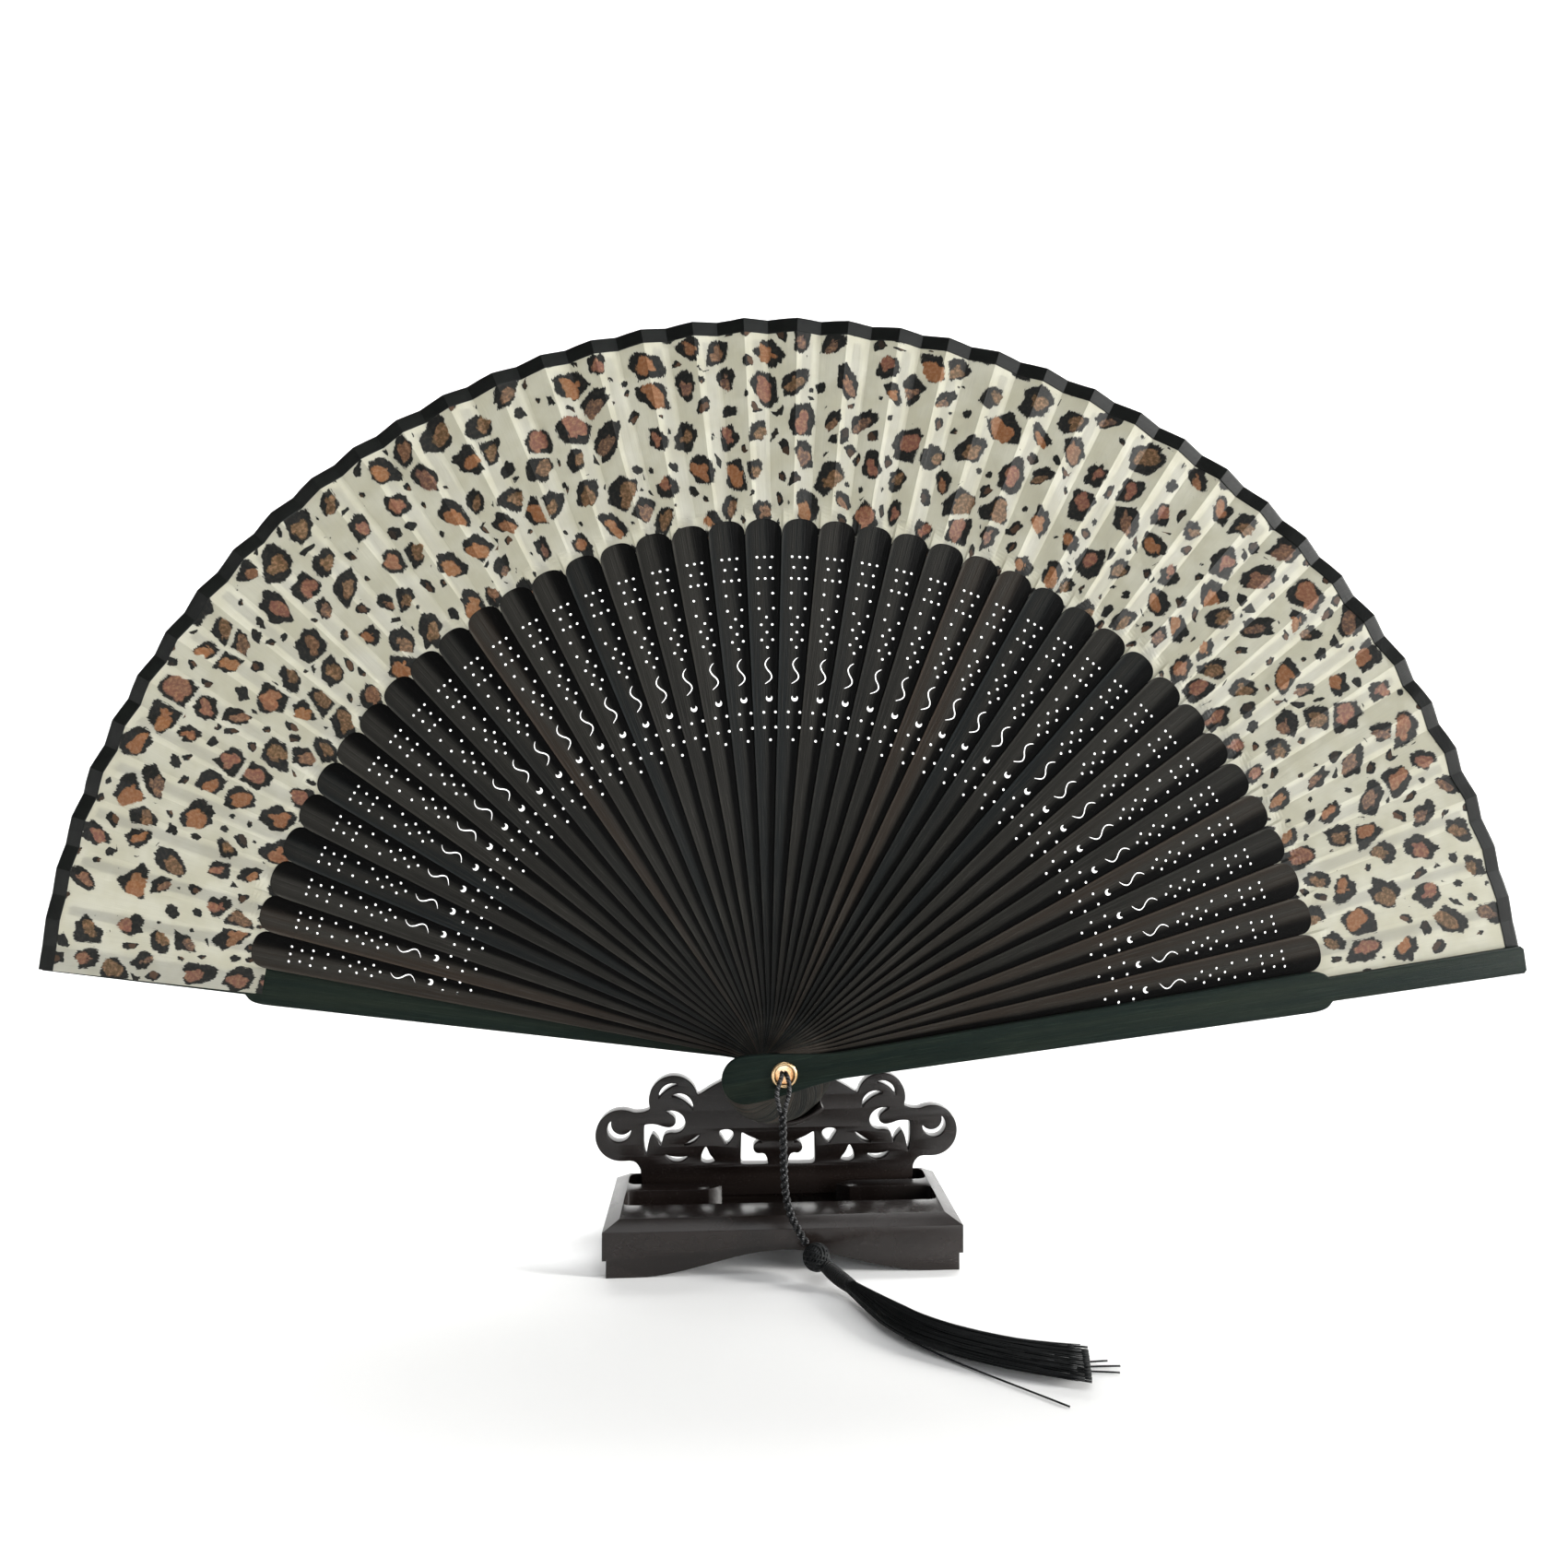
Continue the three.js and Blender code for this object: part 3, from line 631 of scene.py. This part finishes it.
def ball(centre, radius, rings=12, sides=20):
    points, faces = [], []
    for i in range(rings + 1):
        for j in range(sides):
            a, b = math.pi * i / rings, 2 * math.pi * j / sides
            out = Vector((math.sin(a) * math.cos(b), math.sin(a) * math.sin(b), math.cos(a)))
            points.append(centre + radius * out)
    for i in range(rings):
        for j in range(sides):
            a, b = i * sides + j, i * sides + (j + 1) % sides
            faces.append((a, b, b + sides, a + sides))
    return points, faces


def wound_knot():
    """A ball of thread: turns wound round three axes over a solid core."""
    parts = [ball(KNOT, KNOT_CORE_R)]
    for axis, count, radius in KNOT_WINDINGS:
        n = Vector(axis).normalized()
        u = n.orthogonal().normalized()
        v = n.cross(u)
        for m in range(count):
            h = radius * 0.86 * ((m + 0.5) / count * 2 - 1)
            r = math.sqrt(radius * radius - h * h)
            lean = random.uniform(-0.12, 0.12)
            ring = []
            for j in range(41):
                a = 2 * math.pi * j / 40
                across, up = r * math.cos(a), r * math.sin(a)
                ring.append(KNOT + n * (h + lean * across) + u * across + v * up)
            parts.append(tube(ring, 0.30, 6))
    points, faces = join_parts(parts)
    return mesh_object("tassel_knot_wound", points, faces, YARN, smooth=True)


knot = wound_knot()
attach(knot, "pivot")
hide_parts("tassel_knot")

NECK_PATH = [
    (9.6, -25.9, 4.7), (10.6, -26.9, 4.1), (12.2, -28.8, 3.4), (14.6, -31.6, 2.6), (15.2, -32.5, 2.5),
]
NECK_TURNS = 17
SKIRT_PATH = [
    (14.6, -31.6, 2.5), (17, -36, 2.4), (20.3, -42, 2.4), (25.8, -50.3, 2.3),
    (32.8, -56.6, 2.2), (43, -62.4, 2.1), (53, -66.2, 2.0), (60, -68.2, 1.9),
]
SKIRT_WIDE = [1.6, 3.1, 4.8, 5.6, 6.0, 6.4, 6.7, 7.0]  # half widths at SKIRT_PATH's points
SKIRT_HIGH = [1.5, 1.9, 1.9, 1.9, 1.8, 1.7, 1.6, 1.5]  # half heights
SKIRT_STEPS = 44
SKIRT_THREADS = 620
STRAYS = [  # (end, lean) of a few longer threads; the last leaves the skirt early
    ((67.0, -66.6, 0.5), 0.2), ((66.0, -69.0, 0.45), 0.5), ((64.8, -65.2, 0.9), -0.3),
    ((51.8, -80.2, 0.35), 1.0),
]


def bound_neck():
    """The top of the tassel, bound tightly with many turns of thread."""
    line = even(catmull(NECK_PATH, 8), 60)
    parts = [tube(line, 1.35, 14)]
    helix = []
    for i in range(NECK_TURNS * 16):
        t = i / (NECK_TURNS * 16 - 1)
        at = min(len(line) - 2, int(t * (len(line) - 1)))
        p = line[at].lerp(line[at + 1], t * (len(line) - 1) - at)
        ahead = (line[at + 1] - line[at]).normalized()
        u = ahead.orthogonal().normalized()
        v = ahead.cross(u)
        r = 1.42 + 0.25 * math.sin(math.pi * t)
        a = 2 * math.pi * i / 16
        helix.append(p + u * (r * math.cos(a)) + v * (r * math.sin(a)))
    parts.append(tube(helix, 0.24, 6))
    points, faces = join_parts(parts)
    return mesh_object("tassel_neck_bound", points, faces, YARN_CORD, smooth=True)


neck = bound_neck()
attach(neck, "pivot")
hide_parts("tassel_neck")


def threads():
    """The skirt: many loose threads that fan out along one curve and lie on the table."""
    line = even(catmull(SKIRT_PATH, 10), SKIRT_STEPS)
    last = SKIRT_STEPS - 1
    given, wanted = np.linspace(0, 1, len(SKIRT_PATH)), np.linspace(0, 1, SKIRT_STEPS)
    wide = np.interp(wanted, given, SKIRT_WIDE)
    high = np.interp(wanted, given, SKIRT_HIGH)
    frames = []
    for i, p in enumerate(line):
        ahead = direction(line, i)
        side = Vector((ahead.y, -ahead.x, 0)).normalized()
        frames.append((p, side, side.cross(ahead)))
    parts = []
    for _ in range(SKIRT_THREADS):
        a = random.uniform(0, 2 * math.pi)
        r = math.sqrt(random.uniform(0.02, 1.0)) * 0.93
        u, v = r * math.cos(a), r * math.sin(a)
        drift = random.uniform(-0.22, 0.22)
        wave = random.uniform(0, 6.28)
        stop = last - int(abs(random.gauss(0, 2.4)))
        path = []
        for i in range(stop + 1):
            t = i / last
            p, side, over = frames[i]
            uu = u + drift * t * t + 0.05 * math.sin(wave + 7 * t) * t
            vv = v * (1 - 0.25 * t)
            q = p + side * (uu * wide[i]) + over * (vv * high[i])
            q.z = max(q.z, 0.28)
            path.append(q)
        thinned = path[::2] + ([path[-1]] if (len(path) - 1) % 2 else [])
        parts.append(tube(thinned, random.uniform(0.10, 0.17), 3))
    for end, lean in STRAYS:
        early = lean >= 1
        start = 17 if early else 26
        p, side, over = frames[start]
        q0 = p + side * (wide[start] * (0.92 if early else 0.2)) + over * (-0.4)
        q1 = frames[start + 9][0] + side * (wide[start] * (0.3 * lean + (0.75 if early else 0.1)))
        q1.z = 0.6
        path = even(catmull([q0, q1, Vector(end)], 12), 24)
        parts.append(tube([Vector((c.x, c.y, max(0.3, c.z))) for c in path], 0.20, 5))
    points, faces = join_parts(parts)
    return mesh_object("tassel_threads", points, faces, YARN, smooth=True)


skirt = threads()
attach(skirt, "pivot")
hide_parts("tassel_skirt")

# ------------------------------------------------------------ sticks

RIB_WOOD = bamboo_material("dyed_bamboo")
GUARD_WOOD = bamboo_material("dyed_bamboo_guard", (0.0088, 0.0125, 0.0091), False)


def bezier(a, b, c, d, steps):
    """Points of a cubic curve, without its last one."""
    a, b, c, d = (np.array(p, float) for p in (a, b, c, d))
    out = []
    for i in range(steps):
        t = i / steps
        u = 1 - t
        out.append(tuple(u ** 3 * a + 3 * u ** 2 * t * b + 3 * u * t * t * c + t ** 3 * d))
    return out


def head_curve():
    """From the neck's upper side round the head to its lower side."""
    x, r, neck_x = HEAD_R - HEAD_REACH, HEAD_R, NECK_X - 8
    points = bezier((NECK_X, NECK_HALF), (neck_x, NECK_HALF), (x + 8, r), (x, r), 9)
    for i in range(19):
        a = math.pi / 2 + math.pi * i / 18
        points.append((x + r * math.cos(a), r * math.sin(a)))
    points += bezier((x, -r), (x + 8, -r), (neck_x, -NECK_HALF), (NECK_X, -NECK_HALF), 9)[1:]
    return points


def rib_outline():
    """A blade: straight edges that widen from the neck to a rounded tip."""
    points = [(NECK_X, -NECK_HALF)]
    points += bezier((TIP_X - 5, -5), (TIP_X - 1.2, -5), (TIP_X, -3.0), (TIP_X, 0), 9)
    points += bezier((TIP_X, 0), (TIP_X, 3.0), (TIP_X - 1.2, 5), (TIP_X - 5, 5), 9)
    points += [(TIP_X - 5, 5)] + head_curve()
    return points


def dot(x, across, radius=0.345, sides=10):
    angles = [2 * math.pi * i / sides for i in range(sides)]
    return [(x + radius * math.cos(a), across + radius * math.sin(a)) for a in angles]


def wave_slit():
    """A slit that swings once to each side, thin at both ends."""
    middle = [
        (106.3, -0.45), (105.6, 0.35), (104.5, 0.78), (103.2, 0.25),
        (102.2, -0.55), (101.1, -0.85), (100.2, -0.25), (99.4, 0.95),
    ]
    line = even(catmull([(x, y, 0) for x, y in middle], 5), 19)
    left, right = [], []
    for i, p in enumerate(line):
        ahead = direction(line, i)
        half = 0.06 + 0.105 * math.sin(math.pi * i / 18) ** 0.7
        left.append((p.x - ahead.y * half, p.y + ahead.x * half))
        right.append((p.x + ahead.y * half, p.y - ahead.x * half))
    return left + right[::-1]


def moon(x, radius=0.86, bite=0.60, shift=0.54):
    """A crescent: a disc less a smaller disc that is shifted along the stick."""
    open_half = math.acos((radius ** 2 + shift ** 2 - bite ** 2) / (2 * radius * shift))
    inner = math.atan2(radius * math.sin(open_half), radius * math.cos(open_half) - shift)
    outer_arc = [open_half + (2 * math.pi - 2 * open_half) * i / 14 for i in range(15)]
    inner_arc = [2 * math.pi - inner - (2 * math.pi - 2 * inner) * i / 8 for i in range(1, 8)]
    outer_points = [(x + radius * math.cos(a), radius * math.sin(a)) for a in outer_arc]
    return outer_points + [(x + shift + bite * math.cos(a), bite * math.sin(a)) for a in inner_arc]


def piercings():
    """The holes of one rib, each row as (place along the stick, offsets across it)."""
    holes = []
    for x, offsets in (
        (132.9, (-2, 0, 2)), (130.1, (-1.47, 1.47)), (127.2, (-2, 0, 2)), (123.3, (-1.85, 1.85)),
        (119.3, (-1.9, 1.9)), (117.0, (0,)), (115.0, (-1.45, 1.45)), (113.0, (0,)),
        (111.0, (-1.43, 1.43)), (109.0, (0,)), (91.9, (-1.52, 1.52)), (87.9, (-1.5, 1.5)), (84.6, (0,)),
    ):
        holes += [dot(x, y) for y in offsets]
    holes.append(wave_slit())
    holes.append(moon(95.6))
    return holes


def to_stick(mesh, thickness):
    """A plate drawn in the plane turns to lie along a stick: along X, across Z, thick along Y."""
    mesh.transform(Matrix(((1, 0, 0, 0), (0, 0, -1, thickness / 2), (0, 1, 0, 0), (0, 0, 0, 1))))


def slat_parts(tilt):
    """The thin slat behind the cloth, from inside the rib's tip to near the leaf's rim."""
    stations = [  # (place along the stick, depth, slope across it, half width)
        (TIP_X - 6, 0.38, 0.0, 1.6), (TIP_X + 0.1, 0.38, 0.0, 1.6),
        (TIP_X + 4.6, 0.35, tilt, 1.6), (190.5, 0.33, tilt, 1.2),
    ]
    half_thick = 0.09
    points = []
    for x, y, slope, half in stations:
        for across, depth in ((-1, -1), (1, -1), (1, 1), (-1, 1)):
            points.append((x, y + slope * across * half + depth * half_thick, across * half))
    faces = [(0, 1, 2, 3), (15, 14, 13, 12)]
    for i in range(3):
        for j in range(4):
            a, b = 4 * i + j, 4 * i + (j + 1) % 4
            faces.append((a, a + 4, b + 4, b))
    return points, faces


def rib_mesh(share):
    """A rib's blade and slat; share is how much of the full tilt its slat has."""
    mesh = cut_plate("rib_blade", [rib_outline(), dot(0, 0, BORE_R, 20)] + piercings(), RIB_T, 0.10)
    to_stick(mesh, RIB_T)
    points = [tuple(v.co) for v in mesh.vertices]
    faces = [tuple(f.vertices) for f in mesh.polygons]
    points, faces = join_parts([(points, faces), slat_parts(CLOTH_TILT * share)])
    obj = mesh_object("rib_pattern", points, faces, RIB_WOOD)
    mesh = obj.data
    bpy.data.objects.remove(obj)
    return mesh


def stick_matrix(k, front):
    turn = Matrix.Rotation(-math.radians(stick_degrees(k)), 4, "Y")
    return Matrix.Translation((0, front * MM, PIVOT_Z * MM)) @ turn


rib_shapes = {}
for k in RIBS:
    node = f"rib_{k:02d}"
    share = ease(k)
    if share not in rib_shapes:
        rib_shapes[share] = rib_mesh(share)
    rib = link(bpy.data.objects.new(f"pierced_rib_{k:02d}", rib_shapes[share]))
    rib.matrix_world = stick_matrix(k, rib_front(k))
    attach(rib, node)
    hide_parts(node)


def guard_outline():
    """As wide as a blade up to the blades' tips, then a narrower stick along the leaf's edge."""
    points = [(NECK_X, -NECK_HALF)]
    points += bezier((TIP_X - 6, -5.2), (TIP_X - 2.6, -5.2), (TIP_X - 1.0, -4.6), (TIP_X - 0.2, -3.1), 8)
    points += [(TIP_X, -3.1), (195.2, -3.6), (196, -2.8), (196, 2.8), (195.2, 3.6), (TIP_X, 3.1)]
    points += bezier((TIP_X - 0.2, 3.1), (TIP_X - 1.0, 4.6), (TIP_X - 2.6, 5.2), (TIP_X - 6, 5.2), 8)[1:]
    points += [(TIP_X - 6, 5.2)] + head_curve()
    return points


def make_guard(name, node, k, front):
    """One of the two thick outer sticks."""
    mesh = cut_plate(name, [guard_outline(), dot(0, 0, BORE_R, 28)], GUARD_T, 0.42, 3)
    to_stick(mesh, GUARD_T)
    mesh.transform(Matrix.Scale(MM, 4))
    guard = link(bpy.data.objects.new(name, mesh))
    finish_mesh(guard, GUARD_WOOD)
    smooth_by_angle(guard, 32)
    guard.matrix_world = stick_matrix(k, front)
    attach(guard, node)
    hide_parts(node)


make_guard("guard_front", "front_guard", 0, FRONT_Y)
make_guard("guard_back", "back_guard", LAST, BACK_Y)

# ------------------------------------------------------------ pleated leaf and its ribbon

OFFSETS = (-1.9, -FOLD_HALF, 0.0, FOLD_HALF, 1.9)  # the lines of points round each stick, in degrees
GAP_FROM, GAP_TO = FOLD_HALF, STEP_DEGREES - FOLD_HALF
FLAT_R = 170.0  # the flat cloth's own coordinates are measured along this radius
SETTLE_FROM, SETTLE_RUN = 143.0, 4.0  # where the cloth leaves the blades and its pleats begin
RIPPLE_FROM, RIPPLE_RUN = 147.0, 10.0  # where the wide facets' slight waves grow in


def cloth_front(k):
    """Depth of the cloth's front at a stick's own middle line."""
    if k == 0:
        return FRONT_Y + GUARD_T + 0.15
    if k == LAST:
        return BACK_Y - 0.25
    return rib_front(k) + 0.03


JITTER = [random.uniform(-0.10, 0.10) for _ in range(LAST + 1)]  # degrees, one for each stick


def leaf_columns():
    """(stick number, offset from it in degrees) for each line of points, front guard first."""
    columns = []
    for k in range(LAST + 1):
        for offset in OFFSETS:
            if (k == 0 and offset < -1) or (k == LAST and offset > 1):
                continue
            columns.append((k, offset))
    return columns


def fold_depth(k, side, r):
    """Depth of one edge of the narrow facet on stick k; side is 1 or -1."""
    return cloth_front(k) + side * math.sin(math.radians(FOLD_HALF)) * CLOTH_TILT * ease(k) * r


def leaf_point(k, offset, r):
    """The cloth's depth along Y, and the fractional stick number it moves with."""
    if abs(offset) <= FOLD_HALF:
        outer_y = cloth_front(k) + (fold_depth(k, 1, r) - cloth_front(k)) * offset / FOLD_HALF
        outer_k = float(k)
    else:
        low = k if offset > 0 else k - 1
        at = offset if offset > 0 else STEP_DEGREES + offset
        t = (at - GAP_FROM) / (GAP_TO - GAP_FROM)
        outer_y = fold_depth(low, 1, r) * (1 - t) + fold_depth(low + 1, -1, r) * t
        ripple = 0.10 * math.sin(0.21 * r + 1.7 * low) + 0.07 * math.sin(0.47 * r + 2.9 * low)
        outer_y += ripple * min(1.0, max(0.0, (r - RIPPLE_FROM) / RIPPLE_RUN)) * ease(low)
        outer_k = low + t
    inner_y = cloth_front(k) if k in (0, LAST) else rib_front(k) + 0.1
    s = min(1.0, max(0.0, (r - SETTLE_FROM) / SETTLE_RUN))
    s = s * s * (3 - 2 * s)
    return inner_y * (1 - s) + outer_y * s, k * (1 - s) + outer_k * s


def pleated(name, rows, thickness, material):
    """A closed pleated sheet; rows are (radius, how far the front and the back stand off the cloth)."""
    columns = leaf_columns()
    points, follow, flat = [], [], []
    run = [0.0]
    for c in range(1, len(columns)):
        ends = []
        for k, offset in columns[c - 1:c + 1]:
            a = math.radians(stick_degrees(k) + offset)
            y = leaf_point(k, offset, FLAT_R)[0]
            ends.append(Vector((FLAT_R * math.cos(a), y, FLAT_R * math.sin(a))))
        run.append(run[-1] + (ends[1] - ends[0]).length)
    for c, (k, offset) in enumerate(columns):
        bend = JITTER[k] if k in RIBS and abs(offset) <= FOLD_HALF else 0.0
        a = math.radians(stick_degrees(k) + offset + bend)
        for r, before, after in rows:
            y, w = leaf_point(k, offset, r)
            for depth in (-before, thickness + after):
                points.append((r * math.cos(a), y + depth, PIVOT_Z + r * math.sin(a)))
                follow.append(1.0 - w / LAST)
                flat.append((run[c], r))
    stride = 2 * len(rows)
    faces = []
    for c in range(len(columns) - 1):
        a, b = c * stride, (c + 1) * stride
        for i in range(len(rows) - 1):
            faces.append((a + 2 * i, a + 2 * i + 2, b + 2 * i + 2, b + 2 * i))
            faces.append((a + 2 * i + 1, b + 2 * i + 1, b + 2 * i + 3, a + 2 * i + 3))
        top = 2 * (len(rows) - 1)
        faces.append((a, b, b + 1, a + 1))
        faces.append((a + top, a + top + 1, b + top + 1, b + top))
    for base in (0, (len(columns) - 1) * stride):
        for i in range(len(rows) - 1):
            faces.append((base + 2 * i, base + 2 * i + 1, base + 2 * i + 3, base + 2 * i + 2))
    obj = mesh_object(name, points, faces, material)
    layer = obj.data.uv_layers.new(name="flat")
    for loop in obj.data.loops:
        layer.data[loop.index].uv = flat[loop.vertex_index]
    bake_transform(obj)
    return obj


LEAF_RADII = [CLOTH_FROM, 140.0, 141.5, 143.0, 144.0, 145.0, 146.0, 147.0]
LEAF_RADII += [CLOTH_RIM - 4.0 * i for i in range(11, -1, -1)]
LEAF_ROWS = [(r, 0.0, 0.0) for r in LEAF_RADII]
leaf = pleated("leaf_cloth", LEAF_ROWS, CLOTH_T, leaf_material("leopard_cloth"))
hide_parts("leaf")

RIBBON_ROWS = [
    (192.3, 0.06, 0.06), (192.5, 0.14, 0.14), (194.0, 0.15, 0.15), (195.6, 0.13, 0.13), (195.95, 0.05, 0.05),
]
ribbon = pleated("rim_ribbon", RIBBON_ROWS, CLOTH_T, ribbon_material("black_ribbon"))
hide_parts("edge_ribbon")

# ------------------------------------------------------------ eyelet and washer

BRASS = brass_material("brass")


def lathe(name, profile, sides, material):
    """A ring turned round the pivot axis; profile is (radius, y) in millimetres."""
    points, faces = [], []
    count = len(profile)
    for i in range(sides):
        a = 2 * math.pi * i / sides
        for r, y in profile:
            points.append((r * math.cos(a), y, PIVOT_Z + r * math.sin(a)))
    for i in range(sides):
        here, beyond = i * count, (i + 1) % sides * count
        for j in range(count):
            nxt = (j + 1) % count
            faces.append((here + j, here + nxt, beyond + nxt, beyond + j))
    return mesh_object(name, points, faces, material, smooth=True)


FAN_BACK = BACK_Y + GUARD_T
TUBE_IN, TUBE_OUT = 2.28, 2.5  # the eyelet's inner and outer radius


def eyelet_profile():
    """A tube through the heads with a rolled front lip and a flared back one."""
    angles = [math.radians(196 + 16 * i) for i in range(11)]
    rolled = [(2.82 + 0.49 * math.cos(a), FRONT_Y - 0.10 + 0.50 * math.sin(a)) for a in angles]
    front = [(TUBE_IN, FRONT_Y + 0.6)] + rolled + [(3.30, FRONT_Y - 0.03), (TUBE_OUT, FRONT_Y - 0.03)]
    back = [(r, FAN_BACK + y) for r, y in (
        (TUBE_OUT, 0.38), (3.05, 0.40), (3.1, 0.55), (2.8, 0.78), (TUBE_OUT, 0.80), (2.32, 0.6),
        (TUBE_IN, 0.4), (TUBE_IN, -0.2),
    )]
    return front + back + [(TUBE_IN, FRONT_Y + 1.4)]


WASHER_PROFILE = [(r, FAN_BACK + y) for r, y in (
    (2.56, 0.06), (3.85, 0.06), (4.0, 0.13), (4.0, 0.26), (3.85, 0.34), (2.56, 0.34),
)]


eyelet = lathe("eyelet_rolled", eyelet_profile(), 48, BRASS)
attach(eyelet, "pivot")
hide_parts("pivot_eyelet")
washer = lathe("washer_turned", WASHER_PROFILE, 48, BRASS)
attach(washer, "pivot")
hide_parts("pivot_washer")

# ------------------------------------------------------------ stand

LACQUER = lacquer_material("dark_lacquer")


def eased_copy(node, name, width, segments, angle):
    """The CAD shape with its edges rounded where they turn by more than angle degrees."""
    obj = link(bpy.data.objects.new(name, frame["nodes"][node].data.copy()))
    bm = bmesh.new()
    bm.from_mesh(obj.data)
    bmesh.ops.remove_doubles(bm, verts=bm.verts, dist=1e-6)
    bmesh.ops.dissolve_limit(bm, angle_limit=math.radians(1.0), verts=bm.verts, edges=bm.edges)
    bm.to_mesh(obj.data)
    bm.free()
    finish_mesh(obj, LACQUER)
    mod = obj.modifiers.new("ease", "BEVEL")
    mod.width = width * MM
    mod.segments = segments
    mod.limit_method = "ANGLE"
    mod.angle_limit = math.radians(angle)
    mod.use_clamp_overlap = True
    apply_modifiers(obj)
    smooth_by_angle(obj, 35)
    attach(obj, "stand")
    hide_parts(node)


eased_copy("stand_base", "base_eased", 0.45, 3, 24)
eased_copy("stand_cradle", "cradle_eased", 0.35, 2, 40)


def front_loops(node):
    """The closed outlines of a plate's front face, as (x, z) in millimetres, longest first."""
    bm = bmesh.new()
    bm.from_mesh(frame["nodes"][node].data)
    bmesh.ops.remove_doubles(bm, verts=bm.verts, dist=1e-6)
    front = min(v.co.y for v in bm.verts)
    chosen = {f for f in bm.faces if all(abs(v.co.y - front) < 1e-6 for v in f.verts)}
    ahead = {}
    for f in bm.faces:  # in the mesh's own order, so that each run gives the same loops
        if f in chosen:
            for loop in f.loops:
                if sum(g in chosen for g in loop.edge.link_faces) == 1:
                    ahead[loop.vert] = loop.link_loop_next.vert
    loops = []
    while ahead:
        start = next(iter(ahead))
        loop, at = [], start
        while at in ahead:
            loop.append((at.co.x / MM, at.co.z / MM))
            at = ahead.pop(at)
        loops.append(loop)
    bm.free()
    return sorted(loops, key=len, reverse=True)


def rounded(loop, times, keep, clip=0.35):
    """The outline with its corners cut, times over; one sharper than keep degrees is only clipped."""
    for _ in range(times):
        out = []
        n = len(loop)
        for i in range(n):
            a, b, c = (Vector(loop[(i + d) % n]) for d in (-1, 0, 1))
            u, v = b - a, c - b
            if u.length < 1e-4 or v.length < 1e-4:
                continue
            turn = math.degrees(u.angle(v))
            if turn < 2:
                out.append(tuple(b))
                continue
            cut = [0.25 * e.length if turn <= keep else min(clip, 0.25 * e.length) for e in (u, v)]
            out.append(tuple(b - cut[0] * u.normalized()))
            out.append(tuple(b + cut[1] * v.normalized()))
        loop = out
    return loop


def make_plate():
    """The carved plate, cut afresh from the CAD plate's own outlines with smoother curves."""
    low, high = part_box("stand_plate")
    thickness = (high.y - low.y) / MM
    outlines = front_loops("stand_plate")
    loops = [rounded(outlines[0], 1, 38)] + [rounded(loop, 2, 66) for loop in outlines[1:]]
    mesh = cut_plate("plate_carved", loops, thickness, 0.30, 3)
    middle_y = (low.y + high.y) / 2
    mesh.transform(Matrix(((MM, 0, 0, 0), (0, 0, -MM, middle_y), (0, MM, 0, 0), (0, 0, 0, 1))))
    plate = link(bpy.data.objects.new("plate_carved", mesh))
    finish_mesh(plate, LACQUER)
    smooth_by_angle(plate, 35)
    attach(plate, "stand")
    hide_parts("stand_plate")


make_plate()

# ------------------------------------------------------------ floor, backdrop and light

def backdrop():
    """A pale sheet of card: flat below the stand and curving up far behind it."""
    bend_y, bend_r, half, top = 900, 500, 3500, 3000
    profile = [(y, 0) for y in (-1500, -600, 0, 600)]
    for i in range(13):
        a = math.radians(90 * i / 12)
        profile.append((bend_y + bend_r * math.sin(a), bend_r - bend_r * math.cos(a)))
    profile.append((bend_y + bend_r, top))
    points = [(x, y, z) for y, z in profile for x in (-half, half)]
    faces = [(a, a + 1, a + 3, a + 2) for a in range(0, 2 * len(profile) - 2, 2)]
    card = paper_material("pale_card", (0.945, 0.945, 0.94))
    return mesh_object("backdrop", points, faces, card, smooth=True)


backdrop()


def softbox(name, place, target, size, power, colour=(1, 1, 1)):
    """A rectangular light of so many watts at place, facing target."""
    light = bpy.data.lights.new(name, "AREA")
    light.shape = "RECTANGLE"
    light.size, light.size_y = size
    light.energy = power
    light.color = colour
    obj = link(bpy.data.objects.new(name, light))
    obj.location = place
    obj.rotation_euler = (Vector(target) - Vector(place)).to_track_quat("-Z", "Y").to_euler()


# The key grazes the fan from the right, so the facets that face right are the bright ones.
softbox("key_right", (5.20, -1.32, 1.11), (0.0, 0.0, 0.13), (0.68, 2.40), 525.0, (1.0, 0.99, 0.965))
softbox("front_right", (1.84, -3.00, 0.70), (0.0, 0.0, 0.14), (1.8, 2.0), 56.0, (0.97, 0.99, 1.0))
softbox("overhead", (0.0, -0.20, 1.9), (0.0, -0.25, 0.0), (1.2, 1.2), 9.0)
softbox("backdrop_wash", (0.0, 0.75, 2.0), (0.0, 1.4, 0.6), (2.4, 0.5), 34.0)

world = bpy.data.worlds.new("studio")
world.use_nodes = True
background = world.node_tree.nodes["Background"]
background.inputs["Color"].default_value = (0.95, 0.97, 1.0, 1.0)
background.inputs["Strength"].default_value = 0.22
bpy.context.scene.world = world
bpy.context.scene.view_settings.view_transform = "Standard"
